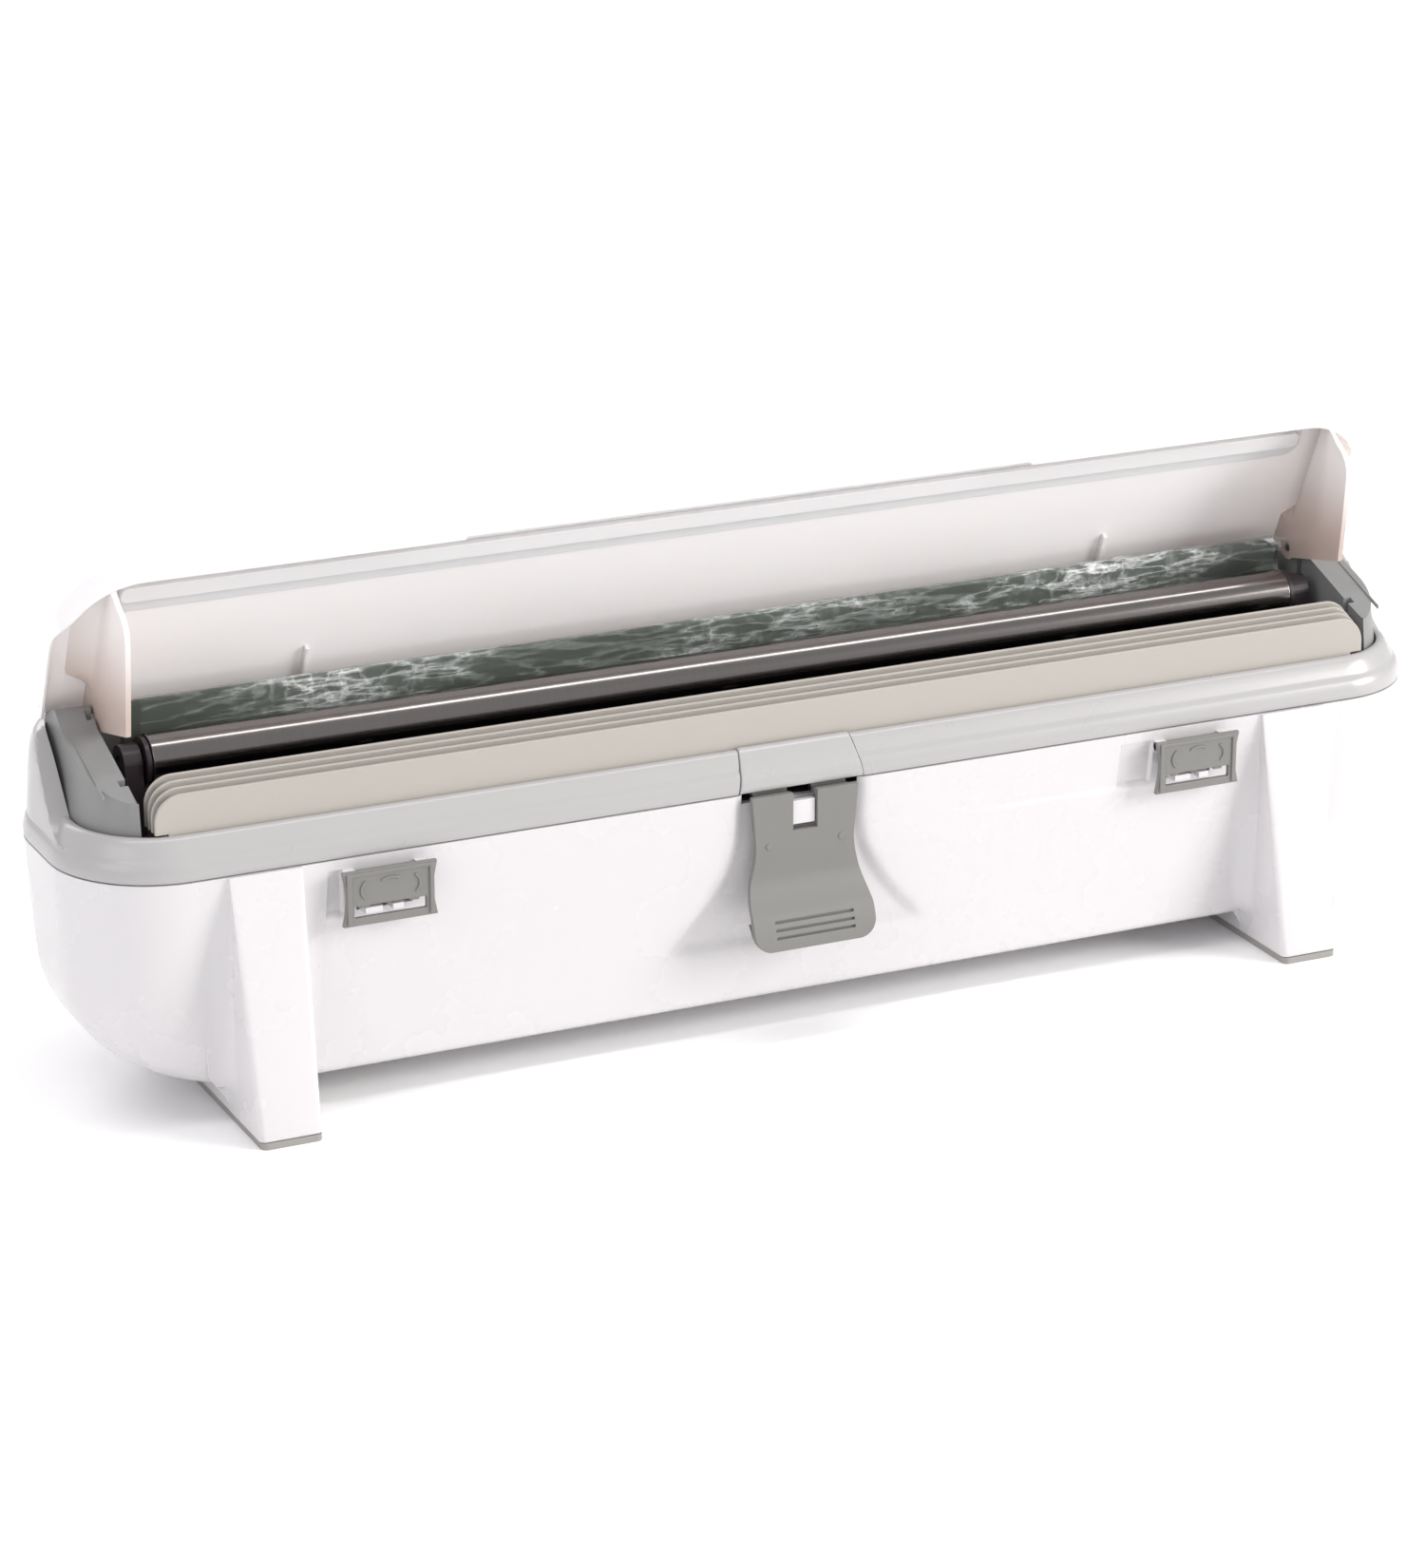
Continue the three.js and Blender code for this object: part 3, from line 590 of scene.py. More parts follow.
@dataclass
class Outline:
    """A rounded rectangle, drawn about the middle of the dispenser."""

    half_x: float
    half_y: float
    corner: float
    segments: int = 14

    def face(self, mesh: BMesh, z: float) -> BMFace:
        """Makes the outline's face.

        Args:
            mesh: The mesh that it goes in.
            z: Its height.

        Returns:
            The face.
        """
        made = bmesh.ops.create_grid(mesh, x_segments=1, y_segments=1, size=1.0)["verts"]
        bmesh.ops.scale(mesh, vec=(self.half_x, self.half_y, 1.0), verts=made)
        bmesh.ops.translate(mesh, vec=(0, 0, z), verts=made)
        made = bmesh.ops.bevel(
            mesh,
            geom=made,
            affect="VERTICES",
            offset=self.corner,
            segments=self.segments,
            profile=0.5,
            material=-1,
        )
        return made["verts"][0].link_faces[0]

    def moved(self, point: Vector, offset: float, z: float) -> Vector:
        """Moves a point of the outline outwards.

        Args:
            point: A point on the outline.
            offset: How far outwards it goes.
            z: Its new height.

        Returns:
            The new place.
        """
        inner = Vector((self.half_x - self.corner, self.half_y - self.corner))
        centre = Vector([max(-limit, min(limit, value)) for limit, value in zip(inner, point)])
        out = (point.xy - centre).normalized() * (self.corner + offset)
        return Vector((centre.x + out.x, centre.y + out.y, z))

    def sweep(self, mesh: BMesh, profile: Sequence[Point2]) -> None:
        """Sweeps an open profile round the outline.

        Args:
            mesh: The mesh that it goes in.
            profile: Steps of outward offset and height.
        """
        face = self.face(mesh, profile[0][1])
        ring = {vert: vert.co.copy() for vert in face.verts}
        edges = list(face.edges)
        bmesh.ops.delete(mesh, geom=[face], context="FACES_ONLY")
        for index, (offset, z) in enumerate(profile):
            if index:
                made = bmesh.ops.extrude_edge_only(mesh, edges=edges)["geom"]
                fresh = verts_of(made)
                edges = [e for e in made if isinstance(e, BMEdge) and all(v in fresh for v in e.verts)]
                ring = {vert: self.nearest(ring, vert) for vert in fresh}
            for vert, start in ring.items():
                vert.co = self.moved(start, offset, z)

    @staticmethod
    def nearest(ring: dict[BMVert, Vector], vert: BMVert) -> Vector:
        """Gives the home place of the vertex that a new one was extruded from."""
        for edge in vert.link_edges:
            other = edge.other_vert(vert)
            if other in ring:
                return ring[other]
        raise ValueError("an extruded vertex has no parent in the ring")


@dataclass
class Piece:
    """One piece being modelled, in millimetres."""

    name: str
    body: Body
    finish: Finish
    mesh: BMesh = field(default_factory=bmesh.new)

    def block(self, low: Sequence[float], high: Sequence[float]) -> None:
        """Adds a block between two corners."""
        made = bmesh.ops.create_cube(self.mesh, size=1.0)["verts"]
        size = Vector(high) - Vector(low)
        bmesh.ops.scale(self.mesh, vec=size, verts=made)
        bmesh.ops.translate(self.mesh, vec=(Vector(high) + Vector(low)) / 2, verts=made)

    def rod(self, radius: float, start: Sequence[float], end: Sequence[float], segments: int = 48) -> None:
        """Adds a round bar from one point to another.

        Args:
            radius: The bar's radius.
            start: The centre of one end.
            end: The centre of the other end.
            segments: How many sides it has.
        """
        line = Vector(end) - Vector(start)
        turn = line.to_track_quat("Z", "Y").to_matrix().to_4x4()
        place = Matrix.Translation((Vector(start) + Vector(end)) / 2) @ turn
        bmesh.ops.create_cone(
            self.mesh,
            cap_ends=True,
            segments=segments,
            radius1=radius,
            radius2=radius,
            depth=line.length,
            matrix=place,
        )

    def slab(self, outline: Sequence[Point2], along: Along, low: float, high: float) -> None:
        """Adds an outline extruded along an axis.

        Args:
            outline: The outline's corners, in order.
            along: The axis that it is extruded along.
            low: Where it starts on that axis.
            high: Where it ends.
        """
        index = list(Along).index(along)
        corners = [[a, b] for a, b in outline]
        for corner in corners:
            corner.insert(index, low)
        shift = [0.0, 0.0, 0.0]
        shift[index] = high - low
        face = self.mesh.faces.new([self.mesh.verts.new(corner) for corner in corners])
        moved = verts_of(bmesh.ops.extrude_face_region(self.mesh, geom=[face])["geom"])
        bmesh.ops.translate(self.mesh, vec=shift, verts=moved)

    def cut(
        self,
        point: Sequence[float],
        normal: Sequence[float],
        clear: bool = False,
        faces: Sequence[BMFace] | None = None,
    ) -> None:
        """Cuts the piece with a plane.

        Args:
            point: A point on the plane.
            normal: The plane's normal.
            clear: Whether what lies in front of the plane is taken away.
            faces: The faces to cut, or None for the whole piece.
        """
        picked = list(self.mesh.faces) if faces is None else list(faces)
        edges = {edge for face in picked for edge in face.edges}
        verts = {vert for face in picked for vert in face.verts}
        bmesh.ops.bisect_plane(
            self.mesh,
            geom=[*picked, *edges, *verts],
            plane_co=point,
            plane_no=normal,
            clear_outer=clear,
        )

    def drop(self, test: Callable[[BMFace], bool]) -> None:
        """Takes away the faces that pass a test."""
        doomed = [face for face in self.mesh.faces if test(face)]
        bmesh.ops.delete(self.mesh, geom=doomed, context="FACES")

    def finished(
        self,
        replaces: Sequence[str] = (),
        wall: float = 0.0,
        bevel: float = 0.4,
        segments: int = 3,
        angle: float = 35.0,
        outward: bool = True,
        place: Matrix | None = None,
    ) -> bpy.types.Object:
        """Turns the mesh into an object in metres that rides on its body.

        Args:
            replaces: The CAD nodes that it stands for.
            wall: The wall's thickness where the mesh is an open skin, or 0.
            bevel: How far the edges are rounded.
            segments: How many segments a rounded edge has.
            angle: The sharpest angle between faces that stays unrounded, in degrees.
            outward: Whether the faces are turned to point outwards.
            place: Where the piece's own frame lies, or None.

        Returns:
            The finished object.
        """
        mesh = self.mesh
        bmesh.ops.remove_doubles(mesh, verts=mesh.verts, dist=1e-4)
        if outward:
            bmesh.ops.recalc_face_normals(mesh, faces=mesh.faces)
        if place is not None:
            bmesh.ops.transform(mesh, matrix=place, verts=mesh.verts)
        bmesh.ops.scale(mesh, vec=(MM, MM, MM), verts=mesh.verts)
        for face in mesh.faces:
            face.smooth = True
        data = bpy.data.meshes.new(self.name)
        mesh.to_mesh(data)
        mesh.free()
        data.materials.append(self.finish.material())
        made = shown(self.name, data)
        if wall:
            solidify = made.modifiers.new("wall", "SOLIDIFY")
            solidify.thickness = wall * MM
            solidify.offset = -1.0
            solidify.use_even_offset = True
        if bevel:
            soften(made, bevel, segments, angle).harden_normals = True
        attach(made, self.body.value)
        if replaces:
            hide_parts(*replaces)
        return made


def carried(node: str, finish: Finish) -> None:
    """Gives a CAD node that keeps its shape a finish and softened edges.

    Args:
        node: The node's name.
        finish: Its finish.
    """
    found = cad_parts[node]
    found.data.materials.clear()
    found.data.materials.append(finish.material())
    weld = found.modifiers.new("weld", "WELD")
    weld.merge_threshold = 0.01 * MM
    soften(found, 0.15, 2, 40.0)


def lathe(piece: Piece, profile: Sequence[Point2], centre: Point2, segments: int = 96) -> None:
    """Spins a closed profile about a line along X.

    Args:
        piece: The piece that it goes in.
        profile: The profile's corners, as places along X and radii.
        centre: Where the line lies, as Y and Z.
        segments: How many steps the spin takes.
    """
    verts = [piece.mesh.verts.new((x, centre[0], centre[1] + r)) for x, r in profile]
    edges = [piece.mesh.edges.new((a, b)) for a, b in zip(verts, verts[1:] + verts[:1])]
    bmesh.ops.spin(
        piece.mesh,
        geom=[*verts, *edges],
        cent=(0, *centre),
        axis=(1, 0, 0),
        dvec=(0, 0, 0),
        angle=2 * math.pi,
        steps=segments,
        use_merge=True,
        use_duplicate=False,
    )


# ------------------------------------------------------------------ base


@dataclass
class Tub:
    """The white tub: its shell, legs, hinge lugs, clip ears and latch catch."""

    half_x: float = 282.5
    half_y: float = 52.8
    corner: float = 40.6
    bottom: float = 12.0
    top: float = 98.7
    draft: Point2 = (5.0, 8.5)  # how far the ends and the long walls lean in towards the foot
    end_round: float = 44.0
    side_round: float = 4.0
    wall: float = 2.4
    leg_x: float = 214.8
    leg_half: float = 12.0
    leg_reach: float = 74.0
    leg_slant: float = 20.0
    pad_top: float = 2.8
    hinge: Point2 = (57.2, 98.9)
    scoop_depth: float = 2.4
    scoop_foot: float = 34.0
    scoop_waist: float = 84.0
    scoop_half: float = 27.5
    scoop_spread: float = 33.0  # how much wider each half of the scoop is at its foot
    pocket_depth: float = 1.3
    clip_x: float = 169.0
    window: Point2 = (77.6, 82.0)
    window_half: float = 11.0
    gap_half: float = 24.2
    gap_foot: float = 94.6

    def half(self, z: float) -> Point2:
        """Gives the half width and half depth of the outside at a height."""
        above = max(z - self.bottom, 0.0)
        share = 1 - above / (self.top - self.bottom)
        reach = [self.half_x - self.draft[0] * share, self.half_y - self.draft[1] * share]
        for index, radius in enumerate((self.end_round, self.side_round)):
            if above < radius:
                reach[index] -= radius * (1 - math.sqrt(1 - (1 - above / radius) ** 2))
        return reach[0], reach[1]

    def scoop(self, x: float, z: float) -> float:
        """Gives how far the finger scoop behind the latch sinks the front wall in.

        Args:
            x: The place along the tub.
            z: The height.

        Returns:
            The depth.
        """
        fall = min(max((self.scoop_waist - z) / (self.scoop_waist - self.scoop_foot), 0.0), 1.0)
        half = self.scoop_half + self.scoop_spread * fall**1.8
        side = smoothstep(0.0, 4.5, half - abs(x))
        return self.scoop_depth * side * smoothstep(self.scoop_foot - 1.0, self.scoop_foot + 7.0, z)

    def pocket(self, x: float, z: float) -> float:
        """Gives how far the shallow pocket beside each clip sinks the front wall in."""
        deep = 0.0
        for side in (-1, 1):
            past = x - (side * self.clip_x - 31.0)
            deep += self.pocket_depth * smoothstep(0.0, 1.0, past) * smoothstep(15.0, 14.0, past)
        return deep * smoothstep(76.0, 77.6, z) * smoothstep(94.7, 94.6, z)

    def on_front(self, vert: BMVert) -> bool:
        """Says whether a vertex of the unshaped shell lies on its front wall."""
        return vert.co.y < 0.01 - self.half_y

    def shell(self) -> None:
        """Builds the tub's shell, with the finger scoop, the latch gap and the clip windows."""
        piece = Piece("tub_shell", Body.BASE, Finishes.TUB)
        foot = [self.bottom + rise for rise in (0.0, 0.3, 0.9, 1.8, 2.8, 4.0)]
        levels = foot + steps(18.0, 76.0, 2.0) + [77.6, 79.0, 80.6, 82.0]
        levels += steps(84.0, 92.0, 2.0) + [94.6, 94.8, 96.6, self.top]
        outline = Outline(self.half_x, self.half_y, self.corner, 18)
        outline.sweep(piece.mesh, [(0.0, z) for z in levels])
        foot_edges = [e for e in piece.mesh.edges if all(abs(v.co.z - self.bottom) < 0.01 for v in e.verts)]
        bmesh.ops.contextual_create(piece.mesh, geom=foot_edges)
        across = steps(-66.0, 66.0, 2.0) + [-self.gap_half, self.gap_half]
        for side in (-1, 1):
            offsets = (-31.0, -30.0, -17.0, -16.0, -self.window_half, self.window_half)
            across += [side * self.clip_x + offset for offset in offsets]
        for x in across:
            front = [f for f in piece.mesh.faces if all(self.on_front(v) for v in f.verts)]
            piece.cut((x, 0, 0), (1, 0, 0), faces=front)
        piece.drop(self.opened)
        for vert in piece.mesh.verts:
            x, y, z = vert.co
            half_x, half_y = self.half(z)
            sunk = self.scoop(x, z) + self.pocket(x, z) if self.on_front(vert) else 0.0
            vert.co.x *= half_x / self.half_x
            vert.co.y = y * half_y / self.half_y + sunk
        piece.finished(["base_tub"], wall=self.wall, bevel=0.35, segments=2, angle=50)

    def opened(self, face: BMFace) -> bool:
        """Says whether a face of the front wall lies in the latch gap or in a clip window."""
        middle = face.calc_center_median()
        if middle.y > 0.01 - self.half_y:
            return False
        low, high = self.window
        in_window = abs(abs(middle.x) - self.clip_x) < self.window_half and low < middle.z < high
        return in_window or (abs(middle.x) < self.gap_half and middle.z > self.gap_foot)

    def legs(self) -> None:
        """Builds the two transverse legs, which flow into the tub's front and rear walls."""
        piece = Piece("tub_legs", Body.BASE, Finishes.TUB)
        half, reach = self.leg_half, 46.0
        for side in (-1, 1):
            x = side * self.leg_x
            piece.block((x - half, -reach, self.pad_top), (x + half, reach, self.bottom + 0.8))
            for face in (-1, 1):
                self.column(piece, x, face)
        piece.finished(bevel=0.6, angle=40)

    def column(self, piece: Piece, x: float, face: int) -> None:
        """Adds the part of a leg that stands in front of the tub or behind it.

        Args:
            piece: The piece that it goes in.
            x: The leg's place along the tub.
            face: -1 for the front and 1 for the rear.
        """
        half, reach = self.leg_half, self.leg_reach
        fillet, root, corner, widening = 9.0, 40.0, 2.5, 0.167
        side = arc((half + fillet, root + fillet), fillet, -90, -180, 10)
        side += arc((half - corner, reach - corner), corner, 0, 90, 5)
        outline = both_sides([(half + fillet, root - 1.1), *side])
        before = set(piece.mesh.verts)
        piece.slab(outline, Along.Z, self.pad_top, self.top)
        for z in (6.0, 9.0, 12.0, 15.0, 20.0, 30.0, 45.0, 60.0, 75.0, 88.0):
            own = [f for f in piece.mesh.faces if not any(v in before for v in f.verts)]
            piece.cut((0, 0, z), (0, 0, 1), faces=own)
        for vert in piece.mesh.verts:
            if vert in before:
                continue
            a, b, z = vert.co
            up = z / self.top
            wall = self.half(z)[1]
            front = reach - self.leg_slant * up
            flare = smoothstep(self.bottom - 8.0, self.bottom + 10.0, z)
            width = min(abs(a), half) + max(abs(a) - half, 0.0) * flare
            out = wall + (b - root) * (front - wall) / (reach - root) if b > root else b * wall / root
            vert.co = (x + math.copysign(width * (1 + widening * up), a), face * out, z)

    def fittings(self) -> None:
        """Builds the hinge lugs, the clip ears and nibs and the latch's catch."""
        piece = Piece("tub_fittings", Body.BASE, Finishes.TUB)
        near, far, lug_radius = 156, 174, 4.2
        ear_half, ear_y, ear_z = 2.3, -54.4, 92.5
        for side in (-1, 1):
            piece.rod(lug_radius, (side * near, *self.hinge), (side * far, *self.hinge))
            low, high = span(side, near, far)
            piece.block((low, 50.5, 88.0), (high, self.hinge[0], 98.4))
            for offset in (-14.1, 14.1):
                low, high = (self.clip_x * side + offset + end for end in (-ear_half, ear_half))
                piece.rod(2.0, (low, ear_y, ear_z), (high, ear_y, ear_z), 24)
                piece.block((low, ear_y, ear_z - 2.0), (high, -51.5, ear_z + 2.0))
            for nib in ((-9.5, -2.8), (1.2, 5.4)):
                low, high = (self.clip_x * side + end for end in nib)
                piece.block((low, -58.2, 78.5), (high, -50.0, 80.8))
        piece.block((-4.5, -54.8, 85.0), (4.5, -49.0, 94.3))  # the nose that the latch catches on
        piece.finished(bevel=0.5)

    def build(self) -> None:
        """Builds the base and dresses the CAD nodes that it keeps."""
        self.shell()
        self.legs()
        self.fittings()
        kept = {
            "foot_pad": Finishes.PAD,
            "roll_cradle": Finishes.TUB,
            "frame_hinge_pin": Finishes.STEEL,
            "clip_pin": Finishes.STEEL,
        }
        for kind, finish in kept.items():
            for _, name in SIDES:
                carried(f"{kind}_{name}", finish)


@dataclass
class SideClip:
    """A grey clip on the tub's front, which holds the rim down."""

    side: int
    low: float = 74.5
    high: float = 95.5
    half: float = 18.5
    waist: float = 1.5
    front: float = -59.0
    back: float = -56.9
    place: float = 169.0
    slot: Point2 = (77.6, 82.0)
    slot_half: float = 14.0
    pin: Point2 = (-54.4, 92.5)

    def build(self) -> None:
        """Builds the clip: a waisted plate with a slot, a raised frame and raised marks."""
        name = "left" if self.side < 0 else "right"
        body = Body.CLIP_LEFT if self.side < 0 else Body.CLIP_RIGHT
        piece = Piece(f"clip_face_{name}", body, Finishes.CLIP)
        x = self.place * self.side
        right = [
            (self.half - self.waist * math.sin(math.pi * t), self.low + (self.high - self.low) * t)
            for t in steps(0.0, 1.0, 0.1)
        ]
        corners = [(x + a, self.front, b) for a, b in both_sides(right)]
        face = piece.mesh.faces.new([piece.mesh.verts.new(corner) for corner in corners])
        face.normal_update()
        low, high = self.slot
        for z in self.slot:
            piece.cut((0, 0, z), (0, 0, 1))
        for offset in (-self.slot_half, self.slot_half):
            piece.cut((x + offset, 0, 0), (1, 0, 0))
        middle = BMFace.calc_center_median
        piece.drop(lambda f: abs(middle(f).x - x) < self.slot_half and low < middle(f).z < high)
        made = bmesh.ops.extrude_face_region(piece.mesh, geom=list(piece.mesh.faces))["geom"]
        bmesh.ops.translate(piece.mesh, vec=(0, self.back - self.front, 0), verts=verts_of(made))
        self.marks(piece, x)
        self.hinge(piece, x)
        piece.finished([f"side_clip_{name}"], bevel=0.45)

    def marks(self, piece: Piece, x: float) -> None:
        """Adds the raised frame and the raised arcs that show which way the clip presses.

        Args:
            piece: The piece that they go in.
            x: The clip's place along the tub.
        """
        proud, sunk, line = self.front - 0.55, self.front + 0.2, 0.9
        arcs = ((-7.5, 88.0, 4.4, 120, 235), (7.5, 88.0, 4.4, -55, 60), (0.0, 84.2, 8.0, 62, 118))
        for offset, z, radius, start, end in arcs:
            centre = (x + offset, z)
            band = arc(centre, radius, start, end, 10) + arc(centre, radius - line, end, start, 10)
            piece.slab(band, Along.Y, proud, sunk)
        for edge in (-1, 1):
            rail = x + edge * (self.half - 2.4)
            piece.block((rail - line, self.front - 0.7, self.low + 0.8), (rail + line, sunk, self.high - 0.8))
        half = self.half - 1.4
        piece.block((x - half, proud, self.high - 2.0), (x + half, sunk, self.high - 0.5))
        for offset in (-11.6, 7.6):
            piece.block((x + offset, self.front + 0.5, 81.0), (x + offset + 3.8, self.back, 84.0))

    def hinge(self, piece: Piece, x: float) -> None:
        """Adds the arm and the barrel that turn on the pin."""
        half, (y, z) = 11.0, self.pin
        piece.block((x - half, -57.2, z - 1.7), (x + half, y, z + 1.7))
        piece.rod(2.0, (x - half, y, z), (x + half, y, z), 28)


# ------------------------------------------------------------------ film roll


@dataclass
class Roll:
    """The roll of film on its card core, with a plug in each end."""

    centre: Point2 = (0.0, 52.0)
    radius: float = 35.0
    half: float = 225.0
    core: Point2 = (18.0, 16.0)  # outer and inner radius

    def build(self) -> None:
        """Builds the roll, its core and its plugs."""
        wound = Piece("wound_film", Body.ROLL, Finishes.WOUND)
        inner = self.core[0] + 0.3
        right = [(self.half, self.radius - 0.4), (self.half - 0.35, self.radius)]
        profile = [(-self.half, inner), *((-a, b) for a, b in right), *reversed(right), (self.half, inner)]
        lathe(wound, profile, self.centre)
        wound.finished(["film_roll"], bevel=0.3)
        core = Piece("card_core", Body.ROLL, Finishes.CARD)
        end = self.half + 3.0
        outer, bore = self.core
        lathe(core, [(-end, bore), (-end, outer), (end, outer), (end, bore)], self.centre)
        core.finished(["film_core"], bevel=0.3)
        y, z = self.centre
        rods = ((15.5, -13.5, 1.0, 64), (20.0, 0.3, 2.3, 64), (5.0, 1.3, 9.8, 40))
        for side, name in SIDES:
            plug = Piece(f"roll_plug_{name}", Body.ROLL, Finishes.BLACK)
            for radius, near, far, segments in rods:
                plug.rod(radius, (side * (end + near), y, z), (side * (end + far), y, z), segments)
            plug.finished([f"core_plug_{name}"], bevel=0.5)


# ------------------------------------------------------------------ upper frame


@dataclass
class Rim:
    """The light grey rim, the cover behind it, the deck inside it and the cover over the latch."""

    outline: Outline = field(default_factory=lambda: Outline(282.5, 52.8, 40.6, 20))
    wall: float = 1.8
    window: Point2 = (23.2, 26.5)  # half widths at the top and at the foot
    window_low: float = 98.0
    window_high: float = 116.0
    hinge: Point2 = (57.2, 98.9)
    ramp_foot: float = -20.0
    ramp_head: float = 22.0
    ramp_low: float = 107.2
    ramp_rise: float = 33.2

    def slopes(self, inset: float = 0.0) -> Iterator[tuple[Vector, Vector]]:
        """Gives the planes along the two slanted sides of the latch window.

        Args:
            inset: How far they are moved towards the window's middle.

        Yields:
            A point on each plane and its normal.
        """
        rise = self.window_high - self.window_low
        lean = self.window[1] - self.window[0]
        for side in (-1, 1):
            point = Vector((side * (self.window[1] - inset), 0, self.window_low))
            yield point, Vector((side * rise, 0, lean)).normalized()

    def ring(self) -> None:
        """Builds the rim as one section swept round the tub."""
        piece = Piece("rim_ring", Body.FRAME, Finishes.RIM)
        section = [(-0.9, 99.1), (-0.2, 99.3), (0.0, 100.0), (0.0, 101.6), (-0.25, 103.2), (-0.75, 105.0)]
        section += [(-1.6, 106.6), (-2.6, 107.3), (-3.1, 108.2), (-4.1, 110.1), (-5.2, 111.9), (-6.1, 113.2)]
        section += [(-6.9, 113.9), (-7.8, 114.2), (-9.0, 114.2), (-9.5, 113.9), (-9.6, 113.2), (-9.6, 103.2)]
        self.outline.sweep(piece.mesh, section)
        middle = BMFace.calc_center_median
        for point, normal in self.slopes():
            piece.cut(point, normal, faces=[f for f in piece.mesh.faces if middle(f).y < -40])
        half = sum(self.window) / 2 - 2
        piece.drop(lambda f: abs(middle(f).x) < half and middle(f).y < -40)
        piece.finished(["rim_frame"], wall=self.wall, bevel=0.3, segments=2, angle=40)
        lugs = Piece("rim_hinge_lugs", Body.FRAME, Finishes.RIM)
        for side in (-1, 1):
            low, high = span(side, 174.6, 192.6)
            lugs.rod(4.2, (low, *self.hinge), (high, *self.hinge))
            lugs.block((low, 51.0, 99.4), (high, self.hinge[0], 103.0))
        lugs.finished()

    def ramp(self, y: float) -> float:
        """Gives the height that the rear cover may reach at a place from front to rear."""
        return self.ramp_low + self.ramp_rise * smoothstep(self.ramp_foot, self.ramp_head, y)

    def rear(self) -> None:
        """Builds the cover that rises behind the end caps."""
        piece = Piece("rear_cover_shell", Body.FRAME, Finishes.RIM)
        outline = Outline(280.7, 51.0, 38.6, 20)
        section = [(0.0, 107.1), (-0.3, 113.0), (-0.7, 120.0), (-1.2, 126.0), (-1.6, 130.5), (-2.2, 134.0)]
        section += [(-3.1, 136.8), (-4.1, 138.6), (-5.2, 139.4), (-6.6, 139.6), (-8.1, 139.6), (-8.1, 107.1)]
        outline.sweep(piece.mesh, [*section, section[0]])
        for y in steps(self.ramp_foot, self.ramp_head, 2.0):
            piece.cut((0, y, 0), (0, 1, 0))
        piece.cut((0, self.ramp_foot, 0), (0, -1, 0), clear=True)
        for vert in piece.mesh.verts:
            vert.co.z = min(vert.co.z, self.ramp(vert.co.y))
        bmesh.ops.dissolve_degenerate(piece.mesh, dist=0.01, edges=piece.mesh.edges)
        piece.finished(["rear_cover"], bevel=0.5, angle=40)
        ledge = Piece("rear_ledge", Body.FRAME, Finishes.RIM)
        ledge.block((-266.0, 31.0, 137.2), (266.0, 46.0, 139.5))
        ledge.finished(bevel=0.6)

    def latch_cover(self) -> None:
        """Builds the slightly proud cover in the middle of the rim's front."""
        piece = Piece("latch_cover_shell", Body.FRAME, Finishes.RIM)
        outer = [(-53.0, 99.5), (-53.45, 100.2), (-53.5, 101.6), (-53.1, 103.6), (-52.3, 105.7)]
        outer += [(-50.6, 108.2), (-48.9, 110.9), (-47.2, 113.2), (-46.0, 114.4)]
        outer += [(-45.0, 114.8), (-43.7, 114.8)]
        inner = [(-43.7, 112.8), (-45.6, 112.2), (-49.9, 106.0), (-51.4, 101.3), (-51.4, 99.5)]
        piece.slab(outer + inner, Along.X, -32.0, 32.0)
        for point, normal in self.slopes(inset=0.35):
            piece.cut(point, normal, clear=True)
            bmesh.ops.holes_fill(piece.mesh, edges=[e for e in piece.mesh.edges if e.is_boundary])
        near, far, y, z = 19.9, 22.4, -49.2, 101.5
        for side in (-1, 1):
            piece.rod(2.3, (side * near, y, z), (side * far, y, z), 28)
            low, high = span(side, near, far)
            piece.block((low, -52.0, 100.2), (high, y, 103.0))
        piece.finished(["latch_cover"], bevel=0.45, angle=40)

    def build(self) -> None:
        """Builds the rim's pieces and dresses the deck and the latch's pin."""
        self.ring()
        self.rear()
        self.latch_cover()
        carried("inner_deck", Finishes.BLACK)
        carried("latch_pin", Finishes.STEEL)


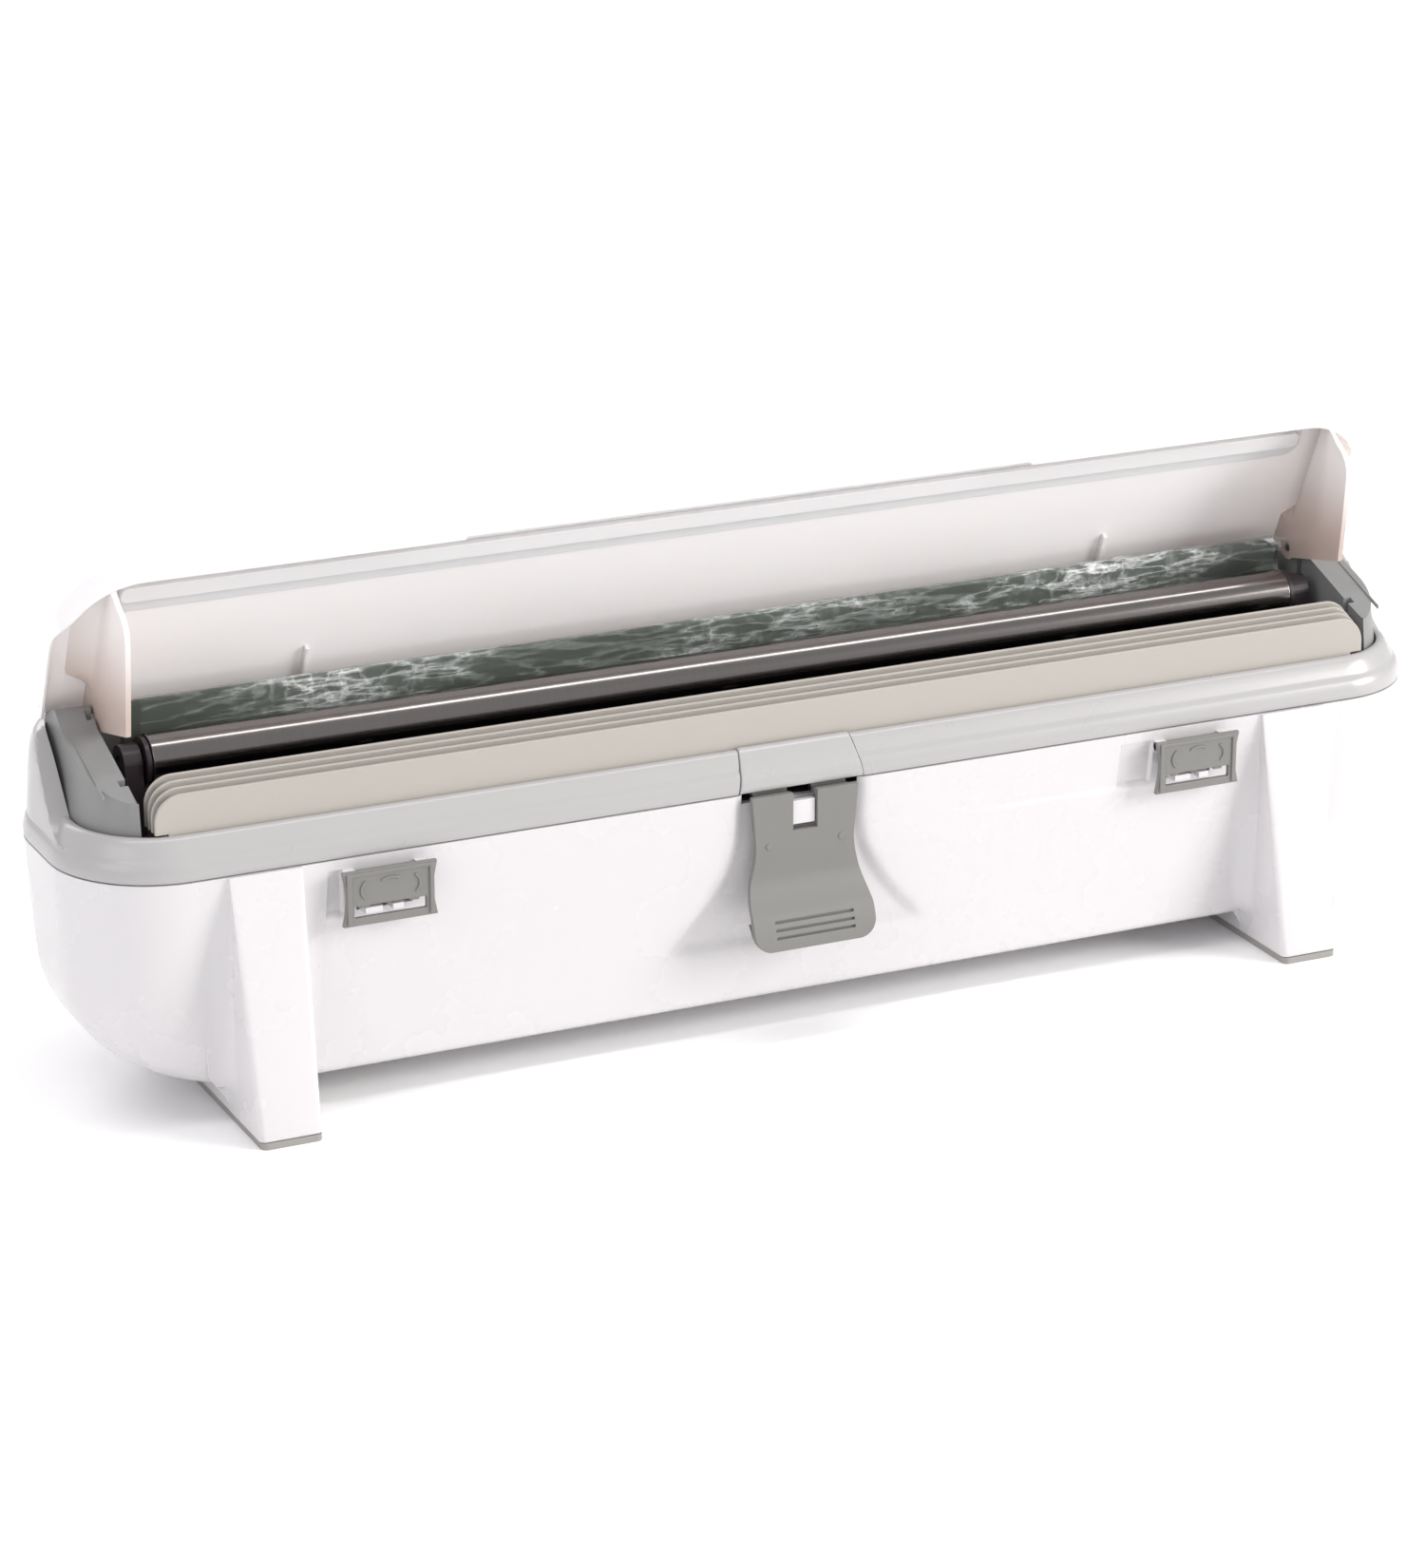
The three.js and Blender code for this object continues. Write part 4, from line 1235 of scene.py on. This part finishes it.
@dataclass
class Latch:
    """The front latch: a waisted plate that kicks out into a finger lip."""

    top: float = 98.0
    foot: float = 39.5
    wall: float = 2.4
    notch: tuple[float, float] = (5.1, 83.0)
    groove_half: float = 16.5
    groove_rise: float = 0.55
    grooves: tuple[float, ...] = (44.6, 47.5, 50.4)
    flat: float = -56.1
    kick_top: float = 66.0
    kick: Point2 = (-63.0, 53.5)
    lip: Point2 = (-66.6, 40.0)
    waist: Point2 = (20.5, 78.0)
    flare_top: float = 1.7
    flare_foot: float = 4.9
    foot_round: Point2 = (7.0, 7.5)
    pin: Point2 = (-49.2, 101.5)

    def front(self, z: float) -> float:
        """Gives where the front face lies at a height: flat, then kicked out, then bowed at the lip."""
        kick_y, kick_z = self.kick
        lip_y, lip_z = self.lip
        if z >= self.kick_top:
            return self.flat
        if z >= kick_z:
            return self.flat + (kick_y - self.flat) * ((self.kick_top - z) / (self.kick_top - kick_z)) ** 1.7
        return kick_y + (lip_y - kick_y) * (1 - ((z - lip_z) / (kick_z - lip_z)) ** 2)

    def half(self, z: float) -> float:
        """Gives the plate's half width at a height."""
        half, waist_z = self.waist
        if z > waist_z:
            return half + self.flare_top * (z - waist_z) / (self.top - waist_z)
        inset, tall = self.foot_round
        low = min(max((self.foot + tall - z) / tall, 0.0), 1.0)
        return half + self.flare_foot * smoothstep(waist_z, 50.0, z) - inset * (1 - math.sqrt(1 - low * low))

    def plate(self) -> None:
        """Builds the latch's plate with its notch and its three finger grooves."""
        piece = Piece("latch_plate", Body.LATCH, Finishes.CLIP)
        rows = [self.foot + rise for rise in (0.0, 0.2, 0.7, 1.5, 2.5)] + steps(43.0, self.top, 1.5)
        outline = both_sides([(self.half(z), z) for z in rows])
        piece.mesh.faces.new([piece.mesh.verts.new((a, 0.0, b)) for a, b in outline])
        notch_half, notch_foot = self.notch
        groove_edges = [g + d for g in self.grooves for d in (-self.groove_rise, self.groove_rise)]
        for z in sorted({*rows[1:-1], notch_foot, *groove_edges}):
            piece.cut((0, 0, z), (0, 0, 1))
        for x in (-self.groove_half, -notch_half, notch_half, self.groove_half):
            piece.cut((x, 0, 0), (1, 0, 0))
        middle = BMFace.calc_center_median
        piece.drop(lambda f: abs(middle(f).x) < notch_half and middle(f).z > notch_foot)
        sunk = [f for f in piece.mesh.faces if self.grooved(middle(f))]
        for vert in piece.mesh.verts:
            vert.co.y = self.front(vert.co.z)
        for face in piece.mesh.faces:
            face.normal_update()
            if face.normal.y > 0:
                face.normal_flip()
        made = bmesh.ops.extrude_face_region(piece.mesh, geom=sunk)["geom"]
        bmesh.ops.delete(piece.mesh, geom=[f for f in sunk if f.is_valid], context="FACES_ONLY")
        bmesh.ops.translate(piece.mesh, vec=(0, 1.1, 0.2), verts=verts_of(made))
        piece.finished(["front_latch"], wall=self.wall, bevel=0.35, angle=40, outward=False)

    def grooved(self, middle: Vector) -> bool:
        """Says whether a face with this middle lies in one of the finger grooves."""
        in_row = any(abs(middle.z - groove) < self.groove_rise for groove in self.grooves)
        return in_row and abs(middle.x) < self.groove_half

    def hinge(self) -> None:
        """Builds the arm and the barrel behind the plate, and the two raised dots on it."""
        piece = Piece("latch_arm", Body.LATCH, Finishes.CLIP)
        y, z = self.pin
        for side in (-1, 1):
            low, high = span(side, self.notch[0], 19.5)
            piece.block((low, -54.0, 95.4), (high, -48.2, 97.6))
            piece.block((low, -50.4, 95.4), (high, -48.0, z))
            piece.rod(1.9, (low, y, z), (high, y, z), 28)
        for x in (-15.2, 15.2):
            piece.rod(1.35, (x, self.flat - 0.4, self.waist[1]), (x, self.flat + 0.6, self.waist[1]), 24)
        piece.finished(bevel=0.3)

    def build(self) -> None:
        """Builds the latch."""
        self.plate()
        self.hinge()


@dataclass
class Cutter:
    """The four fins along the front, and the blade behind them."""

    half: float = 252.2
    foot: float = 102.8
    front: float = -42.3
    pitch: float = 3.6
    thick: float = 1.5
    top: float = 129.3
    rise: float = 1.35
    corner: float = 10.5
    count: int = 4
    shoulder: Point2 = (247.2, 114.7)  # the fins' half length below this height
    bracket_top: float = 111.0

    def build(self) -> None:
        """Builds the fins and dresses the blade, its carrier and its screws."""
        piece = Piece("front_fins", Body.FRAME, Finishes.FINS)
        rear = self.front + (self.count - 1) * self.pitch + self.thick / 2
        inner, ledge = self.shoulder
        piece.block((-inner, self.front - self.thick / 2, self.foot), (inner, rear, self.foot + 3.2))
        for index in range(self.count):
            y = self.front + self.pitch * index
            top = self.top + self.rise * index
            right = [(inner, self.foot + 1.0), (inner, ledge), (self.half, ledge)]
            right += arc((self.half - self.corner, top - self.corner), self.corner, 0, 90, 14)
            piece.slab(both_sides(right), Along.Y, y - self.thick / 2, y + self.thick / 2)
        piece.finished(["fin_bar"])
        ends = Piece("fin_end_brackets", Body.FRAME, Finishes.RIM)
        for side in (-1, 1):
            low, high = span(side, self.half + 0.4, self.half + 3.2)
            ends.block((low, self.front - 1.0, self.foot), (high, self.front + 1.2, self.bracket_top))
        ends.finished()
        carried("cutter_blade", Finishes.STEEL)
        carried("blade_carrier", Finishes.BLACK)
        for place in ("left", "centre", "right"):
            carried(f"blade_screw_{place}", Finishes.STEEL)


@dataclass
class FeedRoller:
    """The metal feed roller on its two dark plugs."""

    centre: Point2 = (1.2, 128.0)
    radius: float = 9.8
    wall: float = 1.3
    half: float = 240.0

    def build(self) -> None:
        """Builds the tube and its plugs and dresses its brackets."""
        tube = Piece("roller_tube", Body.ROLLER, Finishes.ROLLER)
        outer, inner, half = self.radius, self.radius - self.wall, self.half
        lathe(tube, [(-half, inner), (-half, outer), (half, outer), (half, inner)], self.centre, 128)
        tube.finished(["feed_roller"])
        y, z = self.centre
        end = half + 0.3
        rods = ((inner - 0.3, -9.0, 0.5, 64), (outer - 0.6, 0.0, 2.0, 64), (3.0, 1.0, 9.6, 32))
        for side, name in SIDES:
            plug = Piece(f"roller_end_{name}", Body.ROLLER, Finishes.BLACK)
            for radius, near, far, segments in rods:
                plug.rod(radius, (side * (end + near), y, z), (side * (end + far), y, z), segments)
            plug.finished([f"roller_plug_{name}"], bevel=0.35)
            carried(f"roller_bracket_{name}", Finishes.BLACK)


@dataclass
class GuideBar:
    """The dark bar behind the roller, and the film's free end that lies over it."""

    half: float = 245.0
    front: float = 12.5
    thick: float = 3.2
    foot: float = 102.7
    top: float = 147.0
    corner: float = 7.0
    film_left: float = -238.0
    film_right: float = 246.0
    columns: int = 420
    crease_height: float = 2.7
    back_share: float = 0.35
    ragged: float = 1.2

    def bar(self) -> None:
        """Builds the bar: an upright with rounded ends on a foot."""
        piece = Piece("guide_bar", Body.FRAME, Finishes.BAR)
        right = [(self.half, self.foot)]
        right += arc((self.half - self.corner, self.top - self.corner), self.corner, 0, 90, 12)
        piece.slab(both_sides(right), Along.Y, self.front, self.front + self.thick)
        foot_front, foot_rear = self.front + 2.0, self.front + 12.0
        piece.block((-self.half, foot_front, self.foot), (self.half, foot_rear, self.foot + 2.4))
        piece.finished(["rear_guide_bar"], bevel=0.9, segments=4)

    def route(self) -> list[Point2]:
        """Gives the film's section: up from the slot, up the bar's face, over it and down behind."""
        clear, bend = 0.55, 1.6
        face = self.front - clear
        over = self.top + clear
        back = self.front + self.thick + clear
        route = [(6.9, 97.0), (6.95, 100.0), (7.1, 103.5), (9.4, 108.0), (face - 0.2, 112.2), (face, 116.0)]
        route += [(face, z) for z in steps(118.0, over - bend, 1.6)]
        route += arc((face + bend, over - bend), bend, 170, 90, 4)
        route += arc((back - bend, over - bend), bend, 80, 0, 4)
        route += [(back, z) for z in reversed(steps(136.0, over - 2 * bend, 1.6))]
        return route

    def crinkle(self, x: float, z: float) -> float:
        """Gives the film's creases at a place: long sharp folds that lean across the bar.

        Args:
            x: The place along the bar.
            z: The height.

        Returns:
            The crease's share of the greatest lift, from 0 to 1.
        """
        height = 0.0
        waves = ((0.035, 0.10, 0.5, 3.0), (0.085, -0.16, 0.3, 9.0), (0.21, 0.30, 0.2, 15.0))
        for pitch, lean, share, seed in waves:
            wave = noise.noise(Vector((x * pitch + z * lean, z * 0.09, seed)))
            height += share * (1.0 - min(abs(wave) * 2.6, 1.0)) ** 2
        return height

    def film(self) -> None:
        """Builds the crinkled film."""
        piece = Piece("film_free_end", Body.FRAME, Finishes.FILM)
        route = self.route()
        width = self.film_right - self.film_left
        bmesh.ops.create_grid(piece.mesh, x_segments=self.columns, y_segments=len(route) - 1, size=1.0)
        for vert in piece.mesh.verts:
            x = self.film_left + (vert.co.x + 1) / 2 * width
            y, z = route[round((vert.co.y + 1) / 2 * (len(route) - 1))]
            in_front = y < self.front + self.thick / 2
            loose = smoothstep(116.0, 138.0, z) * (1.0 if in_front else self.back_share)
            more_right = 0.55 + 0.45 * smoothstep(-150.0, 200.0, x)
            lift = loose * (0.1 + self.crease_height * self.crinkle(x, z) * more_right)
            at_end = abs(vert.co.x) > 0.999
            ragged = self.ragged * noise.noise(Vector((z * 0.2, 5.0, 1.0))) if at_end else 0.0
            up = 0.5 * lift * smoothstep(145.0, self.top, z)
            vert.co = (x + ragged, y - lift if in_front else y + lift, z + up)
        film = piece.finished(["film_web"], bevel=0.0, outward=False)

    def build(self) -> None:
        """Builds the bar and the film on it."""
        self.bar()
        self.film()


@dataclass
class EndCap:
    """A dark grey cap at one end of the frame, which carries the lid's pivot."""

    side: int
    inner: float = 256.0
    outer: float = 272.3
    rear: float = 28.5
    radius: float = 31.6
    depth: float = 43.1
    foot: float = 102.7
    notch: Point2 = (3.4, 3.6)  # depth and width
    ridge: tuple[Point2, ...] = ((-37.5, 125.6), (6.0, 140.4), (14.1, 146.33), (18.4, 146.1), (21.0, 144.6))
    nose: Point2 = (5.6, 8.6)  # the round's length and rise
    tail: Point2 = (7.55, 9.6)
    ear: Point2 = (16.0, 141.5)
    ear_radius: float = 5.2

    def top(self, y: float) -> float:
        """Gives the top surface's height: a round nose, two slopes, the ear round the pivot and a round tail.

        Args:
            y: The place from front to rear.

        Returns:
            The height.
        """
        first, _, ear_front, ear_rear, last = self.ridge
        if y < first[0]:
            return first[1] - self.nose[1] + self.nose[1] * self.round_off((first[0] - y) / self.nose[0])
        if y >= last[0]:
            return last[1] - self.tail[1] + self.tail[1] * self.round_off((y - last[0]) / self.tail[0])
        if ear_front[0] <= y < ear_rear[0]:
            return self.ear[1] + math.sqrt(self.ear_radius**2 - (y - self.ear[0]) ** 2)
        start, end = next((a, b) for a, b in zip(self.ridge, self.ridge[1:]) if y < b[0])
        return start[1] + (y - start[0]) * (end[1] - start[1]) / (end[0] - start[0])

    @staticmethod
    def round_off(share: float) -> float:
        """Falls from 1 to 0 along a quarter circle as the share goes from 0 to 1."""
        return math.sqrt(max(0.0, 1 - share**2))

    def build(self) -> None:
        """Builds the cap with its two notches and the bright line along its top."""
        name = "left" if self.side < 0 else "right"
        piece = Piece(f"cap_{name}", Body.FRAME, Finishes.CAP)
        centre = (self.outer - self.radius, self.radius - self.depth)
        meet = math.degrees(math.acos((self.inner - centre[0]) / self.radius))
        outline = arc(centre, self.radius, -meet, 0, 16)
        outline += [(self.outer, self.rear), (self.inner, self.rear)]
        deep = self.inner + self.notch[0]
        for high in (13.6, -23.4):
            low = high - self.notch[1]
            outline += [(self.inner, high), (deep, high), (deep, low), (self.inner, low)]
        ceiling = 152.0
        piece.slab(outline, Along.Z, self.foot, ceiling)
        for y in [*steps(-42.5, -37.5, 0.7), -20.0, 6.0, *steps(12.0, 28.2, 0.8)]:
            piece.cut((0, y, 0), (0, 1, 0))
        for z in (114.0, 126.0):
            piece.cut((0, 0, z), (0, 0, 1))
        for vert in piece.mesh.verts:
            if vert.co.z > ceiling - 0.1:
                vert.co.z = self.top(vert.co.y)
            share = max(vert.co.x - self.inner, 0.0) / (self.outer - self.inner)
            lean = 1.9 * smoothstep(112.0, 127.0, vert.co.z) + 1.1 * smoothstep(122.0, 150.0, vert.co.z)
            vert.co.x -= share * lean
            if vert.co.y < centre[1]:
                vert.co.y += (centre[1] - vert.co.y) * lean / self.radius
        ends = [(y, self.top(y)) for y in (-31.0, 5.0)]
        line = [(y, z - 1.0) for y, z in ends] + [(y, z + 0.35) for y, z in reversed(ends)]
        piece.slab(line, Along.X, 266.6, 267.3)
        if self.side < 0:
            bmesh.ops.scale(piece.mesh, vec=(-1, 1, 1), verts=piece.mesh.verts)
        piece.finished([f"end_cap_{name}"], bevel=0.5, angle=30)


@dataclass
class Lid:
    """The white lid, standing open, with its two see-through cheeks."""

    hinge: Point2 = (27.0, 143.0)
    pivot: Point2 = (16.0, 141.5)
    lean: float = 24.5
    half: float = 272.0
    height: float = 69.0
    corner: float = 30.0
    skin: float = 1.4
    depth: float = 12.4
    cheek: float = 254.8
    cheek_thick: float = 2.0
    flare: float = 9.5
    flare_height: float = 9.0
    foot_depth: float = 3.2
    step: float = 117.0
    step_drop: float = 1.6

    def place(self) -> Matrix:
        """Gives where the lid's own frame lies: X along it, Y up its skin and Z out of the skin."""
        return Matrix.Translation((0, *self.hinge)) @ Matrix.Rotation(math.radians(90 + self.lean), 4, "X")

    def reach(self, x: float) -> float:
        """Gives how far up the skin the lid reaches at a place along it."""
        past = max(abs(x) - (self.half - self.corner), 0.0)
        return self.height - self.corner + math.sqrt(max(self.corner**2 - past**2, 0.0))

    def wall(self, x: float, s: float) -> float:
        """Gives how far the wall round the lid's edge stands out of the skin.

        Args:
            x: The place along the lid.
            s: The place up the skin.

        Returns:
            The wall's height.
        """
        tall = self.foot_depth + (self.depth - self.foot_depth) * smoothstep(32.0, 56.0, s)
        return tall - (self.step_drop if abs(x) < self.step + 0.5 and s > 50.0 else 0.0)

    def shell(self) -> None:
        """Builds the skin and the wall round it."""
        piece = Piece("lid_cover", Body.LID, Finishes.LID)
        right = [(self.half, -1.0)]
        right += arc((self.half - self.corner, self.height - self.corner), self.corner, 0, 90, 16)
        skin = piece.mesh.faces.new([piece.mesh.verts.new((a, b, -self.skin)) for a, b in both_sides(right)])
        edges = [e for e in skin.edges if not all(v.co.y < 0 for v in e.verts)]
        raised = verts_of(bmesh.ops.extrude_edge_only(piece.mesh, edges=edges)["geom"])
        bmesh.ops.translate(piece.mesh, vec=(0, 0, self.skin + self.depth), verts=raised)
        for s in (10.0, 20.0, 30.0, 34.0):
            piece.cut((0, s, 0), (0, 1, 0))
        for x in (-self.step - 1.2, -self.step, self.step, self.step + 1.2):
            piece.cut((x, 0, 0), (1, 0, 0))
        for vert in piece.mesh.verts:
            if vert.co.z > 0:
                vert.co.z = self.wall(vert.co.x, vert.co.y)
        piece.mesh.normal_update()
        fillet = [e for e in piece.mesh.edges if self.on_edge(e)]
        bmesh.ops.bevel(
            piece.mesh, geom=fillet, affect="EDGES", offset=2.6, segments=5, profile=0.5, material=-1
        )
        piece.finished(["lid_shell"], wall=self.skin, angle=40, place=self.place())

    def on_edge(self, edge: BMEdge) -> bool:
        """Says whether an edge runs between the lid's skin and the wall round it."""
        low = len(edge.link_faces) == 2 and all(vert.co.z < 0 for vert in edge.verts)
        return low and any(abs(face.normal.z) < 0.5 for face in edge.link_faces)

    def cheeks(self) -> None:
        """Builds the two thin cheeks at the lid's ends."""
        local = self.place().inverted() @ Vector((0, *self.pivot))
        y, z = local.y, local.z
        outline = [(-1.0, -0.6), *arc((y, z), 5.0, 180, 112, 8), (23.0, 43.3), (40.0, 37.8), (56.0, 32.2)]
        outline += [(59.5, 30.6), (62.0, 28.0), (63.4, 24.5), (64.0, 20.0)]
        outline += [(66.5, 12.4), (68.2, 10.4), (68.2, -0.6)]
        for side, name in SIDES:
            piece = Piece(f"lid_cheek_{name}", Body.LID, Finishes.CHEEK)
            piece.slab(outline, Along.X, *span(side, self.cheek - self.cheek_thick, self.cheek))
            for level in steps(1.0, self.flare_height, 1.5):
                piece.cut((0, 0, level), (0, 0, 1))
            for s in steps(5.0, 66.0, 2.5):
                piece.cut((0, s, 0), (0, 1, 0))
            for vert in piece.mesh.verts:
                up = max(1.0 - max(vert.co.z, 0.0) / self.flare_height, 0.0)
                vert.co.x += side * self.flare * up**2 * smoothstep(12.0, 18.0, vert.co.y)
                vert.co.y = min(vert.co.y, self.reach(vert.co.x) - 1.2)
            piece.finished(bevel=0.5, place=self.place())

    def ribs(self) -> None:
        """Builds the two short ribs at the lid's foot."""
        ribs = Piece("lid_ribs", Body.LID, Finishes.LID)
        for x in (-169.5, 169.5):
            ribs.block((x - 0.9, 1.0, -0.4), (x + 0.9, 15.0, 2.4))
        ribs.finished(place=self.place())

    def strip(self) -> None:
        """Builds the strip that presses the film onto the blade when the lid closes."""
        piece = Piece("press_strip", Body.LID, Finishes.LID)
        for half, low, high, proud in ((249.5, 44.5, 61.5, 0.9), (247.0, 50.5, 57.5, 3.4)):
            round_off = min(half, (high - low) / 2) * 0.8
            quarter = arc((half - round_off, high - round_off), round_off, 90, 0, 8)
            right = quarter + arc((half - round_off, low + round_off), round_off, 0, -90, 8)
            piece.slab(both_sides(right), Along.Z, 0.05, proud)
        piece.finished(["lid_press_strip"], bevel=0.8, segments=4, place=self.place())

    def build(self) -> None:
        """Builds the lid and dresses its pins."""
        self.shell()
        self.cheeks()
        self.ribs()
        self.strip()
        for _, name in SIDES:
            carried(f"lid_pivot_pin_{name}", Finishes.STEEL)


# ------------------------------------------------------------------ studio


@dataclass
class Studio:
    """The floor, the lights and the camera."""

    eye: tuple[float, float, float] = (-0.7813, -1.6377, 0.7275)
    target: tuple[float, float, float] = (-0.01238, 0.0, 0.08471)
    lens: float = 114.4
    sensor: float = 36.0
    far: float = 60.0
    aim: tuple[float, float, float] = (0.0, 0.0, 0.1)
    floor_half: float = 9.0
    floor_colour: Colour = (0.98, 0.98, 0.98)
    floor_roughness: float = 0.7
    sky_colour: Colour = (0.98, 0.975, 1.0)
    sky_strength: float = 0.62

    def floor(self) -> None:
        """Lays a plain pale floor."""
        mesh = bmesh.new()
        bmesh.ops.create_grid(mesh, x_segments=1, y_segments=1, size=self.floor_half)
        data = bpy.data.meshes.new("floor")
        mesh.to_mesh(data)
        mesh.free()
        material = bpy.data.materials.new("floor_paint")
        material.use_nodes = True
        shader = material.node_tree.nodes["Principled BSDF"]
        shader.inputs["Base Color"].default_value = opaque(self.floor_colour)
        shader.inputs["Roughness"].default_value = self.floor_roughness
        data.materials.append(material)
        shown("floor", data)

    def light(self, name: str, place: Sequence[float], size: Point2, power: float, colour: Colour) -> None:
        """Hangs a soft light that faces the dispenser.

        Args:
            name: The light's name.
            place: Where it hangs, in metres.
            size: Its width and height.
            power: Its power, in watts.
            colour: Its colour.
        """
        data = bpy.data.lights.new(name, "AREA")
        data.shape = "RECTANGLE"
        data.size, data.size_y = size
        data.energy = power
        data.color = colour
        self.point(shown(name, data), place, self.aim)

    def camera(self) -> None:
        """Sets the camera up."""
        data = bpy.data.cameras.new("camera")
        data.lens = self.lens
        data.sensor_width = self.sensor
        data.clip_end = self.far
        camera = shown("camera", data)
        self.point(camera, self.eye, self.target)
        bpy.context.scene.camera = camera

    @staticmethod
    def point(thing: bpy.types.Object, place: Sequence[float], target: Sequence[float]) -> None:
        """Puts a lamp or a camera in its place and turns it towards a target.

        Args:
            thing: The lamp or the camera.
            place: Where it goes, in metres.
            target: What it faces.
        """
        thing.location = place
        thing.rotation_mode = "QUATERNION"
        thing.rotation_quaternion = (Vector(target) - Vector(place)).to_track_quat("-Z", "Y")

    def build(self) -> None:
        """Builds the studio."""
        self.floor()
        self.camera()
        self.light("key", (2.6, -1.9, 1.2), (1.4, 1.4), 85.0, (1.0, 0.98, 0.955))
        self.light("fill", (-2.6, -1.2, 1.4), (1.8, 1.8), 16.0, (0.97, 0.97, 1.0))
        self.light("top", (0.0, -0.36, 2.3), (3.2, 0.3), 22.0, (1.0, 0.985, 0.975))
        self.light("back", (-0.4, 2.4, 1.5), (2.6, 1.4), 30.0, (1.0, 0.98, 0.97))
        world = bpy.data.worlds.new("studio")
        world.use_nodes = True
        back = world.node_tree.nodes["Background"]
        back.inputs["Color"].default_value = opaque(self.sky_colour)
        back.inputs["Strength"].default_value = self.sky_strength
        bpy.context.scene.world = world
        bpy.context.scene.view_settings.view_transform = "Standard"


def main() -> None:
    """Builds the dispenser, one sub-assembly after another."""
    logging.basicConfig(level=logging.INFO, format="%(name)s: %(message)s")
    parts = (
        Tub(),
        SideClip(-1),
        SideClip(1),
        Roll(),
        Rim(),
        Latch(),
        Cutter(),
        FeedRoller(),
        GuideBar(),
        EndCap(-1),
        EndCap(1),
        Lid(),
        Studio(),
    )
    for part in parts:
        part.build()
        LOG.info("built %s", type(part).__name__)


if __name__ == "__main__":
    main()
